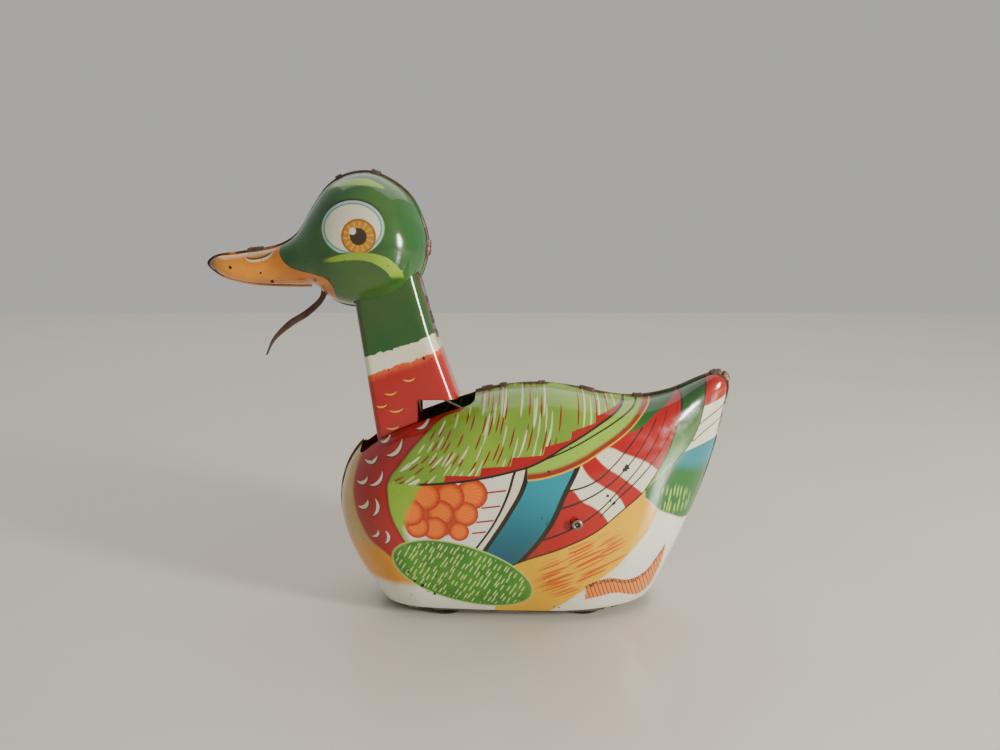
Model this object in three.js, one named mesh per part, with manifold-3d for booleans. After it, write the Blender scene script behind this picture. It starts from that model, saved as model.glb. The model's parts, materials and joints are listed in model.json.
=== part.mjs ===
// A clockwork tin duck on four wheels, about 180 mm long. Millimetres, +Z up, beak towards -X.
// The origin is the centre of the base plate's underside, and the winding key is on the +Y side.
// Two stamped half shells make the body and two make the head. The neck is a folded tube that nods
// on an axle inside the body. A mainspring between two plates drives the rear axle and the neck's crank.

import * as THREE from 'three';
import { mergeVertices } from 'three/addons/utils/BufferGeometryUtils.js';
import Module from 'manifold-3d';

const wasm = await Module();
wasm.setup();

// ---- Driving dimensions ----

const SHEET = 0.8; // wall of the stamped shells and the neck
const SEAM_GAP = 0.3; // between a left and a right half shell
const SEAM_FLANGE = 0.7; // how far the crimped seam stands out, and its thickness in each half
const GAP = 0.3; // between fixed neighbours, and round a shaft in its hole

// Side outline of the body on its middle plane, as [x, z], from the top of the breast round the bottom.
const BODY_OUTLINE = [
  [-47, 63.4], [-55.5, 57.6], [-60.6, 51], [-63.7, 42.5], [-64.5, 34], [-63.2, 25.5], [-59.6, 16],
  [-53.8, 6], [-45, -6], [-30, -14], [0, -16], [25, -15], [40, -8.5], [48.5, 1], [53, 10],
  [57.5, 20], [61.3, 29], [65.8, 41.5], [69.4, 54], [72, 67], [73.6, 76.5], [72.6, 80.6],
  [69.5, 82], [64, 80.4], [52, 75.4], [38, 73.4], [18, 76.8], [7, 78], [-5, 77.2], [-15, 75.4],
  [-31, 70],
];
// Line along which the body is widest, as [x, z].
const BODY_SPINE = [[-36, 34], [-12, 35], [12, 40], [36, 52], [64, 74]];
// Half width there, as [x, half width], with x counted along the body as it leans up to the tail.
const BODY_WIDTHS = [
  [-60, 24.6], [-37, 25.4], [-12, 27.4], [13, 27.6], [42, 21.5], [64, 13], [78, 7], [90, 5],
];
const BODY_LEAN = { perMillimetre: 0.35, from: 36 };
const BODY_FULLNESS = 2.6; // 2 is elliptical in section, more is boxier
const KEY_HOLE_RADIUS = 2.6; // in the shell on the key's side
const EYELET_HOLE_RADIUS = 1.35; // in the other shell

const HEAD_OUTLINE = [
  [-107, 119.4], [-104.4, 122], [-95, 123.6], [-82, 126], [-76, 129.6], [-70.6, 137.8],
  [-65, 145.3], [-58.6, 149.2], [-50.5, 150.2], [-43.5, 147.6], [-37, 142.4], [-32.8, 134.5],
  [-31, 126.5], [-32.3, 118.5], [-36, 111.5], [-43, 106.5], [-52, 104.4], [-60, 105],
  [-64.8, 107.2], [-69, 110.9], [-76, 111.3], [-85, 111.5], [-94, 112.4], [-102.4, 115],
];
const HEAD_SPINE = [[-50, 127], [-98, 118.2]];
const HEAD_WIDTHS = [
  [-107, 6], [-96, 7], [-84, 8], [-76, 10.5], [-68, 15], [-60, 18.2], [-50, 19], [-30, 19],
];
const HEAD_LEAN = { perMillimetre: 0, from: 0 };
const HEAD_FULLNESS = 2.2;
const MOUTH = { front: -75, back: -64.5, top: 115, halfWidth: 3 };

const NECK_HALF_WIDTH = 9;
const NECK_FRONT = { x: -49.8, z: 60.3, slope: -0.131 }; // x changes by the slope for each mm up
const NECK_REAR = [[-19.6, 68], [-22.1, 75.4], [-25.1, 83.8], [-29.7, 97.3], [-34.1, 114.1], [-35.6, 120]];
const NECK_TOP = 119;
// The tang goes on down to the axle, with a rounded corner below.
const NECK_TANG = { bottom: 41, rear: -35.2, top: 73.3, shoulder: 4 };
const NECK_CORNER = { front: 2.5, rear: 5 };
const NECK_WINDOW = { bottom: 110, halfWidth: 6, behind: -50 }; // in the front wall, inside the head
const SLOT = { front: -57.8, rear: -15.6, halfWidth: 10, bottom: 50 };

const NECK_PIVOT = { x: -41.5, z: 46 };
const NECK_AXLE_RADIUS = 1.2;
const TONGUE_ANCHOR = { x: -33, z: 48, radius: 1 };
const BRACKET_PIN_HALF = 12.2; // half length of the neck's axle and of the anchor pin

const BASE_THICK = 0.8;
const FLOOR_GAP = BASE_THICK + GAP; // underside of what stands on the base plate

// One bent strip carries the neck's axle, the tongue's anchor pin and the front axle. This is the side
// view of its ears, as [x, z].
const BRACKET = { inner: 10.4, thick: 0.8 };
const BRACKET_EAR = [
  [-34, FLOOR_GAP], [-20, FLOOR_GAP], [-21, 12], [-29, 32], [-29, 50], [-31, 52], [-44, 52], [-46, 50],
  [-46, 42], [-38, 26],
];

const WHEEL = { radius: 10, inner: 13.2, thick: 2.6, bore: 1.25, rim: 1.1, hub: 3, dish: 1.2 };
const AXLE_Z = 7.5;
const FRONT_AXLE_X = -26;
const REAR_AXLE = { x: 22.6, z: AXLE_Z };
const AXLE_RADIUS = 1.1;
const AXLE_HALF = 16.4;
const WHEEL_CUT = { length: 19, inner: 12.2, outer: 16.9 };

const PLATE = { inner: 9.6, thick: 0.8 };
const MODULE = 0.8;
const TEETH = { great: 36, secondPinion: 9, second: 27, axlePinion: 9, crankPinion: 12 };
const ADDENDUM = 0.75 * MODULE;
const DEDENDUM = 1.15 * MODULE;
const TOOTH = { rootShare: 0.62, tipShare: 0.2 }; // a tooth's width as a share of half a pitch
const GEAR_FIT = 0.15; // round an arbor in a gear
const ARBOR = { x: 18.3, z: 35.7 };
const SMALL_ARBOR_RADIUS = 1.1;
const ARBOR_END = 0.5; // how far an arbor stands out of each plate
const ARBOR_RADIUS = 1.5;
const ARBOR_LONG_RADIUS = 1.2; // between the near plate and the eyelet
const ARBOR_TIP = { radius: 0.5, length: 3, out: 0.4 };
const SHELL_Y_AT_ARBOR = 27.6; // where the arbor's axis leaves each shell
const CRANK_ANGLE = 2.3; // from the winding arbor to the crank, turned up from +X
const CRANK_THROW = 4.4;
const CRANK_PIN_RADIUS = 0.9;
const GEAR_Y = { great: [-2.6, -1.6], pinion: [-3.0, -1.2], second: [-5.6, -4.6], axlePinion: [-6.1, -4.1] };
const RATCHET = { low: -1.2, high: -0.2, teeth: 12, outer: 6.2, inner: 5 };
const CLICK = {
  x: 1.9, z: 10.6, tipX: 4.64, tipZ: 3.13, boss: 1.7, rivet: 0.8, tipWide: 0.9, rootOut: 1.5, rootIn: 0.2,
};
const CLICK_RIVET_Y = [-3.2, 0.2];
const CRANK_WEB = { right: [-4.4, -3.4], left: [-7.8, -6.8], radius: 1.5 };
const ROD = {
  y: -5.6, radius: 0.6, eyeOuter: 2.2, hookX: -28.4, hookZ: 74.4, hookDrop: 1, straightEnd: 2,
};
const ROD_HOOK_BEND = { y: -0.1, x: -0.3, z: 0.2 }; // how the hook turns aside at its end
// Outline of a movement plate, as [x, z].
const PLATE_OUTLINE = [
  [-8, FLOOR_GAP], [38, FLOOR_GAP], [40, 12], [40, 49], [35, 52], [9, 56], [1, 56], [-8, 35],
];
const PILLARS = { front: [-4, 32], top: [36, 47], rear: [34.5, 9] };
const PILLAR_RADIUS = 1.6;

const SPRING = {
  low: 0.8, high: 8.8, inner: 4.4, outer: 14.4, thick: 0.5, turns: 5,
  start: 0.55, tailShare: 0.06, tailOut: 3,
};
const KEY = { low: 30.6, sleeveHigh: 40, sleeveRadius: 2.9, depth: 3, thick: 1.4 };
const KEY_HOLES = { x: 8, y: 41, radius: 2.6 };
// Half of the key's bow, as [x, y] points of curves: out and round, and back to the middle.
const KEY_BOW = {
  foot: [2, 36.5],
  out: [[7, 33.5], [13, 35], [13, 41]],
  round: [[13, 47], [6, 47.5], [2.4, 43]],
  dip: [0, 41.6],
};
const KEY_BUSHING = { bore: 1.9, barrel: 2.25, flange: 3.3 };
const EYELET = { bore: 0.75, barrel: 1.05, flange: 1.7 };
const RIVET_DEPTH = 2.4; // of a tubular rivet's barrel inside the shell
const RIVET_FLANGE = 0.5; // its flange's thickness

const TONGUE_PIVOT = { x: -67.9, z: 114.6 };
const TONGUE_PIN_RADIUS = 0.7;
const TONGUE_PIN_HALF = 11.6;
// Middle of the tongue strip as [x, z, width, twist in degrees], from its tail to its tip.
const TONGUE_LINE = [
  [-61, 116.4, 2.4, 0], [-65, 115.6, 2.8, 0], [-67.9, 114.6, 3.4, 0], [-69.4, 110.5, 3.3, 0],
  [-71, 106, 3.1, 0], [-75.5, 101.6, 2.9, 8], [-81, 97.5, 2.5, 25], [-86.9, 92.1, 2, 50],
  [-89.9, 87.5, 1.5, 70],
];
const TONGUE_THICK = 0.6;
// Wire from the anchor in the body up through the neck to the tongue's tail, as [x, z].
const TONGUE_WIRE_LINE = [
  [-33.2, 50.6], [-34.4, 60], [-36, 72], [-38.6, 92], [-41, 109], [-44.5, 113.5], [-52, 115], [-59.4, 116.2],
];
const TONGUE_WIRE_Y = 1.5;
const TONGUE_WIRE_RADIUS = 0.45;

// ---- Solids ----

function solid(geometry) {
  const bare = geometry.index ? geometry.clone() : geometry;
  bare.deleteAttribute('normal');
  bare.deleteAttribute('uv');
  const merged = mergeVertices(bare, 1e-4);
  return new wasm.Manifold(new wasm.Mesh({
    numProp: 3,
    vertProperties: new Float32Array(merged.attributes.position.array),
    triVerts: new Uint32Array(merged.index.array),
  }));
}

function geometryOf(manifold) {
  const mesh = manifold.getMesh();
  const geometry = new THREE.BufferGeometry();
  geometry.setAttribute('position', new THREE.BufferAttribute(new Float32Array(mesh.vertProperties), 3));
  geometry.setIndex(new THREE.BufferAttribute(new Uint32Array(mesh.triVerts), 1));
  return geometry;
}

function box(low, high) {
  const size = high.map((value, axis) => value - low[axis]);
  const geometry = new THREE.BoxGeometry(...size);
  geometry.translate(...low.map((value, axis) => value + size[axis] / 2));
  return solid(geometry);
}

// A round bar along Y.
function bar(radius, yLow, yHigh, x = 0, z = 0, sides = 16) {
  const geometry = new THREE.CylinderGeometry(radius, radius, yHigh - yLow, sides);
  geometry.translate(x, (yLow + yHigh) / 2, z);
  return solid(geometry);
}

// A flat piece: an outline in the XZ plane, given thickness along Y.
function slab(shape, yLow, yHigh, curveSegments = 10) {
  const geometry = new THREE.ExtrudeGeometry(shape, {
    depth: yHigh - yLow, bevelEnabled: false, curveSegments,
  });
  geometry.rotateX(Math.PI / 2);
  geometry.translate(0, yHigh, 0);
  return solid(geometry);
}

function polygon(points) {
  return new THREE.Shape(points.map(([x, z]) => new THREE.Vector2(x, z)));
}

// A round hole in a flat outline, drawn the opposite way round from it.
function pierce(shape, radius, x = 0, z = 0) {
  const hole = new THREE.Path();
  hole.absarc(x, z, radius, 0, Math.PI * 2, !THREE.ShapeUtils.isClockWise(shape.getPoints()));
  shape.holes.push(hole);
  return shape;
}

// A body turned about the Y axis, from [radius, y] pairs.
function turned(profile, sides = 16) {
  const geometry = new THREE.LatheGeometry(profile.map(([r, y]) => new THREE.Vector2(r, y)), sides);
  return solid(geometry);
}

// A closed skin over rings of equal length, with flat ends.
function loft(rings) {
  const count = rings[0].length;
  const positions = rings.flat().flatMap((point) => point.toArray());
  const indices = [];
  for (let ring = 0; ring + 1 < rings.length; ring += 1) {
    for (let i = 0; i < count; i += 1) {
      const a = ring * count + i;
      const b = ring * count + ((i + 1) % count);
      indices.push(a, b, a + count, b, b + count, a + count);
    }
  }
  const ends = [[rings[0], 0, true], [rings[rings.length - 1], (rings.length - 1) * count, false]];
  for (const [ring, start, flipped] of ends) {
    for (const [a, b, c] of flatTriangles(ring)) {
      indices.push(start + a, start + (flipped ? c : b), start + (flipped ? b : c));
    }
  }
  const geometry = new THREE.BufferGeometry();
  geometry.setAttribute('position', new THREE.Float32BufferAttribute(positions, 3));
  geometry.setIndex(indices);
  const made = solid(geometry);
  return made.volume() < 0 ? solid(turnedInsideOut(geometry)) : made;
}

function turnedInsideOut(geometry) {
  const index = geometry.index.array;
  for (let i = 0; i < index.length; i += 3) {
    [index[i], index[i + 1]] = [index[i + 1], index[i]];
  }
  return geometry;
}

// Triangles of a ring, found by looking along the axis that it faces most, wound as the ring is.
function flatTriangles(ring) {
  const facing = new THREE.Vector3();
  ring.forEach((point, i) => facing.add(point.clone().cross(ring[(i + 1) % ring.length])));
  const size = facing.toArray().map(Math.abs);
  const along = size.indexOf(Math.max(...size));
  const [across, up] = [['y', 'z'], ['x', 'z'], ['x', 'y']][along];
  const flat = ring.map((point) => new THREE.Vector2(point[across], point[up]));
  const clockwise = THREE.ShapeUtils.isClockWise(flat);
  return THREE.ShapeUtils.triangulateShape(flat, []).map((corners) => {
    const same = THREE.ShapeUtils.isClockWise(corners.map((i) => flat[i])) === clockwise;
    return same ? corners : corners.toReversed();
  });
}

// ---- Pillowed shells ----

function outlinePoints(outline, count) {
  const curve = new THREE.CatmullRomCurve3(
    outline.map(([x, z]) => new THREE.Vector3(x, 0, z)), true, 'centripetal');
  return curve.getSpacedPoints(count).slice(0, count);
}

function nearestOnSpine(spine, point) {
  const distance = (s) => Math.hypot(s.x - point.x, s.z - point.z);
  return spine.reduce((best, s) => (distance(s) < distance(best) ? s : best));
}

// A smooth value between [position, value] pairs.
function smoothly(pairs, position) {
  let i = 1;
  while (i < pairs.length - 1 && pairs[i][0] < position) i += 1;
  const slope = (a, b) => (pairs[b][1] - pairs[a][1]) / (pairs[b][0] - pairs[a][0]);
  const slopeAt = (k) => slope(Math.max(k - 1, 0), Math.min(k + 1, pairs.length - 1));
  const [[p0, v0], [p1, v1]] = [pairs[i - 1], pairs[i]];
  const span = p1 - p0;
  const t = THREE.MathUtils.clamp((position - p0) / span, 0, 1);
  const blend = t * t * (3 - 2 * t);
  return v0 + (v1 - v0) * blend + span * t * (1 - t) * ((1 - t) * slopeAt(i - 1) - t * slopeAt(i));
}

const SPINE_STEPS = 80;
const LAST_ANGLE = THREE.MathUtils.degToRad(84); // where a form ends in a narrow flat face

// A closed form that bulges to both sides of the middle plane: at the outline it has no width, and at
// the spine its full width. Inset makes it smaller all round.
function pillow({ outline, spine, widths, lean, fullness }, inset, count, steps) {
  const curve = new THREE.CatmullRomCurve3(spine.map(([x, z]) => new THREE.Vector3(x, 0, z)));
  const spinePoints = curve.getSpacedPoints(SPINE_STEPS);
  const spokes = outlinePoints(outline, count).map((point) => {
    const root = nearestOnSpine(spinePoints, point);
    const reach = new THREE.Vector3(point.x - root.x, 0, point.z - root.z);
    reach.setLength(reach.length() - inset);
    return { root, reach };
  });
  const rings = [];
  for (let step = -steps; step <= steps; step += 1) {
    const angle = (LAST_ANGLE * step) / steps;
    const spread = Math.cos(angle) ** (2 / fullness);
    rings.push(spokes.map(({ root, reach }) => {
      const x = root.x + reach.x * spread;
      const z = root.z + reach.z * spread;
      const width = smoothly(widths, x + lean.perMillimetre * (z - lean.from)) - inset;
      return new THREE.Vector3(x, width * Math.sin(angle), z);
    }));
  }
  return loft(rings);
}

const BODY = {
  outline: BODY_OUTLINE, spine: BODY_SPINE, widths: BODY_WIDTHS, lean: BODY_LEAN, fullness: BODY_FULLNESS,
};
const HEAD = {
  outline: HEAD_OUTLINE, spine: HEAD_SPINE, widths: HEAD_WIDTHS, lean: HEAD_LEAN, fullness: HEAD_FULLNESS,
};

// Both halves of a stamped form together, hollow, with the crimped seam round it.
function stampedPair(form, count, steps) {
  const rim = outlinePoints(form.outline, count).map(({ x, z }) => [x, z]);
  const flange = slab(polygon(rim), -SEAM_FLANGE - SEAM_GAP / 2, SEAM_FLANGE + SEAM_GAP / 2);
  const skin = pillow(form, SEAM_FLANGE, count, steps);
  return skin.add(flange).subtract(pillow(form, SEAM_FLANGE + SHEET, count, steps));
}

const FAR = 200;

function half(pair, side) {
  const edge = SEAM_GAP / 2;
  const [low, high] = side > 0 ? [edge, FAR] : [-FAR, -edge];
  return pair.intersect(box([-FAR, low, -FAR], [FAR, high, FAR]));
}

const BODY_MESH = [52, 4];
const HEAD_MESH = [40, 4];

function bodyPair() {
  const below = box([-FAR, -FAR, -FAR], [FAR, FAR, 0]);
  const slot = box([SLOT.front, -SLOT.halfWidth, SLOT.bottom], [SLOT.rear, SLOT.halfWidth, FAR]);
  return stampedPair(BODY, ...BODY_MESH).subtract(below).subtract(slot)
    .subtract(bar(KEY_HOLE_RADIUS, 0, FAR, ARBOR.x, ARBOR.z))
    .subtract(bar(EYELET_HOLE_RADIUS, -FAR, 0, ARBOR.x, ARBOR.z));
}

// ---- Neck ----

function neckRearX(z) {
  const line = NECK_REAR;
  let i = 1;
  while (i < line.length - 1 && line[i][1] < z) i += 1;
  const [[x0, z0], [x1, z1]] = [line[i - 1], line[i]];
  return x0 + ((x1 - x0) * (z - z0)) / (z1 - z0);
}

function neckRing(z, inset) {
  const front = NECK_FRONT.x + NECK_FRONT.slope * (z - NECK_FRONT.z) + inset;
  const rear = neckRearX(z) - inset;
  const side = NECK_HALF_WIDTH - inset;
  const corners = [
    [front, side, NECK_CORNER.front, 90], [front, -side, NECK_CORNER.front, 180],
    [rear, -side, NECK_CORNER.rear, 270], [rear, side, NECK_CORNER.rear, 0],
  ];
  const ring = [];
  for (const [x, y, fullRadius, turn] of corners) {
    const radius = Math.max(fullRadius - inset, 0.4);
    const midX = x + (x === front ? radius : -radius);
    const midY = y - Math.sign(y) * radius;
    for (let step = 0; step <= 3; step += 1) {
      const angle = THREE.MathUtils.degToRad(turn + 30 * step);
      ring.push(new THREE.Vector3(midX + radius * Math.cos(angle), midY + radius * Math.sin(angle), z));
    }
  }
  return ring;
}

function neckLoft(inset, zLow, zHigh) {
  const levels = [zLow, ...NECK_REAR.map(([, z]) => z).filter((z) => z > zLow && z < zHigh), zHigh];
  return loft(levels.map((z) => neckRing(z, inset)));
}

function neckTube() {
  const tube = neckLoft(0, NECK_TANG.bottom, NECK_TOP)
    .subtract(neckLoft(SHEET, NECK_TANG.bottom - 1, NECK_TOP + 1));
  const behindTang = box([NECK_TANG.rear, -FAR, 0], [FAR, FAR, NECK_TANG.top]);
  const { bottom, halfWidth, behind } = NECK_WINDOW;
  const window = box([-FAR, -halfWidth, bottom], [behind, halfWidth, FAR]);
  const shoulder = bar(NECK_TANG.shoulder, -FAR, FAR, NECK_TANG.rear, NECK_TANG.bottom, 24);
  return tube.subtract(behindTang).subtract(window).subtract(shoulder)
    .subtract(bar(NECK_AXLE_RADIUS + GAP, -FAR, FAR, NECK_PIVOT.x, NECK_PIVOT.z));
}

function headPair() {
  const mouth = box([MOUTH.front, -MOUTH.halfWidth, 100], [MOUTH.back, MOUTH.halfWidth, MOUTH.top]);
  const pinHole = bar(TONGUE_PIN_RADIUS + GAP, -FAR, FAR, TONGUE_PIVOT.x, TONGUE_PIVOT.z, 12);
  return stampedPair(HEAD, ...HEAD_MESH).subtract(neckLoft(-GAP, 90, NECK_TOP + GAP))
    .subtract(mouth).subtract(pinHole);
}

// ---- Tongue ----

function strip(line, thickness) {
  const middle = new THREE.CatmullRomCurve3(line.map(([x, z]) => new THREE.Vector3(x, 0, z)));
  const measures = new THREE.CatmullRomCurve3(
    line.map(([, , width, twist]) => new THREE.Vector3(width, twist, 0)));
  const steps = 14;
  const rings = [];
  for (let step = 0; step <= steps; step += 1) {
    const t = step / steps;
    const point = middle.getPoint(t);
    const along = middle.getTangent(t);
    const { x: width, y: twist } = measures.getPoint(t);
    const turn = THREE.MathUtils.degToRad(twist);
    const side = new THREE.Vector3(-along.z, 0, along.x).applyAxisAngle(along, turn);
    const face = new THREE.Vector3().crossVectors(along, side);
    const corners = [[-1, -1], [1, -1], [1, 1], [-1, 1]];
    rings.push(corners.map(([s, f]) => point.clone()
      .addScaledVector(side, (s * width) / 2).addScaledVector(face, (f * thickness) / 2)));
  }
  return loft(rings);
}

function wire(points, radius, sides, steps) {
  const path = new THREE.CatmullRomCurve3(points.map((point) => new THREE.Vector3(...point)));
  const section = new THREE.Shape();
  section.absarc(0, 0, radius, 0, Math.PI * 2);
  return solid(new THREE.ExtrudeGeometry(section, {
    steps, bevelEnabled: false, extrudePath: path, curveSegments: sides / 2,
  }));
}

// ---- Running gear and movement ----

function gearShape(teeth, boreRadius, phase) {
  const pitchRadius = (MODULE * teeth) / 2;
  const outer = pitchRadius + ADDENDUM;
  const root = pitchRadius - DEDENDUM;
  const rootHalf = (TOOTH.rootShare * Math.PI) / teeth;
  const tipHalf = (TOOTH.tipShare * Math.PI) / teeth;
  const points = [];
  for (let tooth = 0; tooth < teeth; tooth += 1) {
    const middle = phase + (2 * Math.PI * tooth) / teeth;
    const corners = [[root, -rootHalf], [outer, -tipHalf], [outer, tipHalf], [root, rootHalf]];
    for (const [radius, offset] of corners) {
      points.push([radius * Math.cos(middle + offset), radius * Math.sin(middle + offset)]);
    }
  }
  return pierce(polygon(points), boreRadius);
}

// The turn that puts a driven gear's gap on the driving gear's tooth, on the line between their centres.
function meshedPhase(direction, teethA, phaseA, teethB) {
  return direction + Math.PI - (Math.PI - teethA * (direction - phaseA)) / teethB;
}

function centreDistance(teethA, teethB) {
  return (MODULE * (teethA + teethB)) / 2;
}

// Where the second arbor stands, from the winding arbor and the rear axle: in front of the line between.
function secondArborPlace() {
  const toGreat = centreDistance(TEETH.great, TEETH.secondPinion);
  const toAxle = centreDistance(TEETH.second, TEETH.axlePinion);
  const dx = REAR_AXLE.x - ARBOR.x;
  const dz = REAR_AXLE.z - ARBOR.z;
  const apart = Math.hypot(dx, dz);
  const along = (toGreat ** 2 - toAxle ** 2 + apart ** 2) / (2 * apart);
  const across = Math.sqrt(toGreat ** 2 - along ** 2);
  return {
    x: ARBOR.x + (dx * along + dz * across) / apart,
    z: ARBOR.z + (dz * along - dx * across) / apart,
  };
}

const SECOND = secondArborPlace();
const CRANK_REACH = centreDistance(TEETH.great, TEETH.crankPinion);
const CRANK = {
  x: ARBOR.x + CRANK_REACH * Math.cos(CRANK_ANGLE),
  z: ARBOR.z + CRANK_REACH * Math.sin(CRANK_ANGLE),
};

const toSecond = Math.atan2(SECOND.z - ARBOR.z, SECOND.x - ARBOR.x);
const toAxle = Math.atan2(REAR_AXLE.z - SECOND.z, REAR_AXLE.x - SECOND.x);
const PHASE = {
  great: 0,
  secondPinion: meshedPhase(toSecond, TEETH.great, 0, TEETH.secondPinion),
  crankPinion: meshedPhase(CRANK_ANGLE, TEETH.great, 0, TEETH.crankPinion),
  second: 0,
  axlePinion: meshedPhase(toAxle, TEETH.second, 0, TEETH.axlePinion),
};

function gear(name, yRange, boreRadius) {
  return slab(gearShape(TEETH[name], boreRadius, PHASE[name]), ...yRange, 6);
}

function greatWheel() {
  const rivetHole = bar(CLICK.rivet + GAP, -FAR, FAR, CLICK.x, CLICK.z, 8);
  return gear('great', GEAR_Y.great, ARBOR_RADIUS + GAP).subtract(rivetHole);
}

function ratchetWheel() {
  const points = [];
  for (let tooth = 0; tooth < RATCHET.teeth; tooth += 1) {
    const start = (2 * Math.PI * tooth) / RATCHET.teeth;
    points.push([RATCHET.outer * Math.cos(start), RATCHET.outer * Math.sin(start)]);
    points.push([RATCHET.inner * Math.cos(start), RATCHET.inner * Math.sin(start)]);
  }
  // Each tooth is steep on one side and slopes on the other.
  return slab(pierce(polygon(points), ARBOR_RADIUS + GAP), RATCHET.low, RATCHET.high, 6);
}

function mainspring() {
  const steps = SPRING.turns * 16;
  const line = [];
  for (let step = 0; step <= steps; step += 1) {
    const t = step / steps;
    const tail = Math.max(0, 1 - (1 - t) / SPRING.tailShare) ** 2 * SPRING.tailOut;
    const angle = 2 * Math.PI * SPRING.turns * t + SPRING.start;
    line.push([angle, SPRING.inner + (SPRING.outer - SPRING.inner) * t + tail]);
  }
  const at = (angle, radius) => [radius * Math.cos(angle), radius * Math.sin(angle)];
  const inside = line.map(([angle, radius]) => at(angle, radius));
  const outside = line.map(([angle, radius]) => at(angle, radius + SPRING.thick)).reverse();
  return slab(polygon([...inside, ...outside]), SPRING.low, SPRING.high);
}

function windingArbor() {
  const end = -SHELL_Y_AT_ARBOR - ARBOR_TIP.out;
  const shoulder = -SHELL_Y_AT_ARBOR + ARBOR_TIP.length;
  const keyEnd = KEY.low + KEY.depth;
  return turned([
    [0, end], [ARBOR_TIP.radius, end], [ARBOR_TIP.radius, shoulder],
    [ARBOR_LONG_RADIUS, shoulder], [ARBOR_LONG_RADIUS, -PLATE.inner], [ARBOR_RADIUS, -PLATE.inner],
    [ARBOR_RADIUS, keyEnd], [0, keyEnd],
  ]);
}

function windingKey() {
  const socket = ARBOR_RADIUS + GAP;
  const sleeve = turned([
    [0, KEY.low + KEY.depth + GAP], [socket, KEY.low + KEY.depth + GAP], [socket, KEY.low],
    [KEY.sleeveRadius, KEY.low], [KEY.sleeveRadius, KEY.sleeveHigh], [0, KEY.sleeveHigh],
  ]);
  const { foot, out, round, dip } = KEY_BOW;
  const mirrored = ([x, y]) => [-x, y];
  const bow = new THREE.Shape();
  bow.moveTo(...mirrored(foot));
  bow.bezierCurveTo(...out.flatMap(mirrored));
  bow.bezierCurveTo(...round.flatMap(mirrored));
  bow.quadraticCurveTo(...dip, ...round[2]);
  bow.bezierCurveTo(...round[1], ...round[0], ...out[2]);
  bow.bezierCurveTo(...out[1], ...out[0], ...foot);
  for (const side of [-1, 1]) {
    pierce(bow, KEY_HOLES.radius, side * KEY_HOLES.x, KEY_HOLES.y);
  }
  const geometry = new THREE.ExtrudeGeometry(bow, {
    depth: KEY.thick, bevelEnabled: false, curveSegments: 8,
  });
  geometry.translate(0, 0, -KEY.thick / 2);
  return sleeve.add(solid(geometry));
}

const ARBOR_HALF = PLATE.inner + PLATE.thick + ARBOR_END;
const BITE = 0.5; // how far one solid goes into another that it joins

function crankArbor() {
  const webShape = (radius) => {
    const shape = new THREE.Shape();
    shape.absarc(0, 0, radius, Math.PI, 2 * Math.PI);
    shape.absarc(0, CRANK_THROW, radius, 0, Math.PI);
    return shape;
  };
  const web = webShape(CRANK_WEB.radius);
  const { right, left } = CRANK_WEB;
  return slab(web, ...right).add(slab(web, ...left))
    .add(bar(SMALL_ARBOR_RADIUS, right[1] - BITE, ARBOR_HALF))
    .add(bar(SMALL_ARBOR_RADIUS, -ARBOR_HALF, left[0] + BITE))
    .add(bar(CRANK_PIN_RADIUS, left[1] - BITE, right[0] + BITE, 0, CRANK_THROW));
}

function connectingRod() {
  const pin = { x: CRANK.x, z: CRANK.z + CRANK_THROW };
  const dx = ROD.hookX - pin.x;
  const dz = ROD.hookZ - pin.z;
  const length = Math.hypot(dx, dz);
  const start = ROD.eyeOuter - BITE;
  const from = [pin.x + (dx * start) / length, ROD.y, pin.z + (dz * start) / length];
  const eye = bar(ROD.eyeOuter, ROD.y - ROD.radius, ROD.y + ROD.radius, pin.x, pin.z, 20)
    .subtract(bar(CRANK_PIN_RADIUS + GAP, -FAR, FAR, pin.x, pin.z));
  const line = wire([
    from,
    [ROD.hookX + ROD.straightEnd, ROD.y, ROD.hookZ + (dz / dx) * ROD.straightEnd],
    [ROD.hookX, ROD.y + ROD_HOOK_BEND.y, ROD.hookZ],
    [ROD.hookX + ROD_HOOK_BEND.x, ROD.y - ROD.hookDrop, ROD.hookZ + ROD_HOOK_BEND.z],
  ], ROD.radius, 8, 10);
  return eye.add(line);
}

function movementPlate(side) {
  const low = side > 0 ? PLATE.inner : -PLATE.inner - PLATE.thick;
  let plate = slab(polygon(PLATE_OUTLINE), low, low + PLATE.thick);
  const holes = [
    [ARBOR, ARBOR_RADIUS], [SECOND, SMALL_ARBOR_RADIUS],
    [CRANK, SMALL_ARBOR_RADIUS], [REAR_AXLE, AXLE_RADIUS],
  ];
  for (const [{ x, z }, radius] of holes) {
    plate = plate.subtract(bar(radius + GAP, -FAR, FAR, x, z));
  }
  return plate;
}

// A strip bent into a U that stands on the base plate, with a hole in each ear for each shaft.
function bracket(holes) {
  const { inner, thick } = BRACKET;
  let made = slab(polygon(BRACKET_EAR), -inner - thick, inner + thick)
    .subtract(box([-FAR, -inner, FLOOR_GAP + thick], [FAR, inner, FAR]));
  for (const { x, z, radius } of holes) {
    made = made.subtract(bar(radius + GAP, -FAR, FAR, x, z));
  }
  return made;
}

function basePlate() {
  let plate = pillow(BODY, SEAM_FLANGE + SHEET + GAP, ...BODY_MESH)
    .intersect(box([-FAR, -FAR, 0], [FAR, FAR, BASE_THICK]));
  for (const x of [FRONT_AXLE_X, REAR_AXLE.x]) {
    for (const side of [-1, 1]) {
      const [low, high] = [side * WHEEL_CUT.inner, side * WHEEL_CUT.outer].sort((a, b) => a - b);
      const reach = WHEEL_CUT.length / 2;
      plate = plate.subtract(box([x - reach, low, -BASE_THICK], [x + reach, high, 2 * BASE_THICK]));
    }
  }
  return plate;
}

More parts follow.
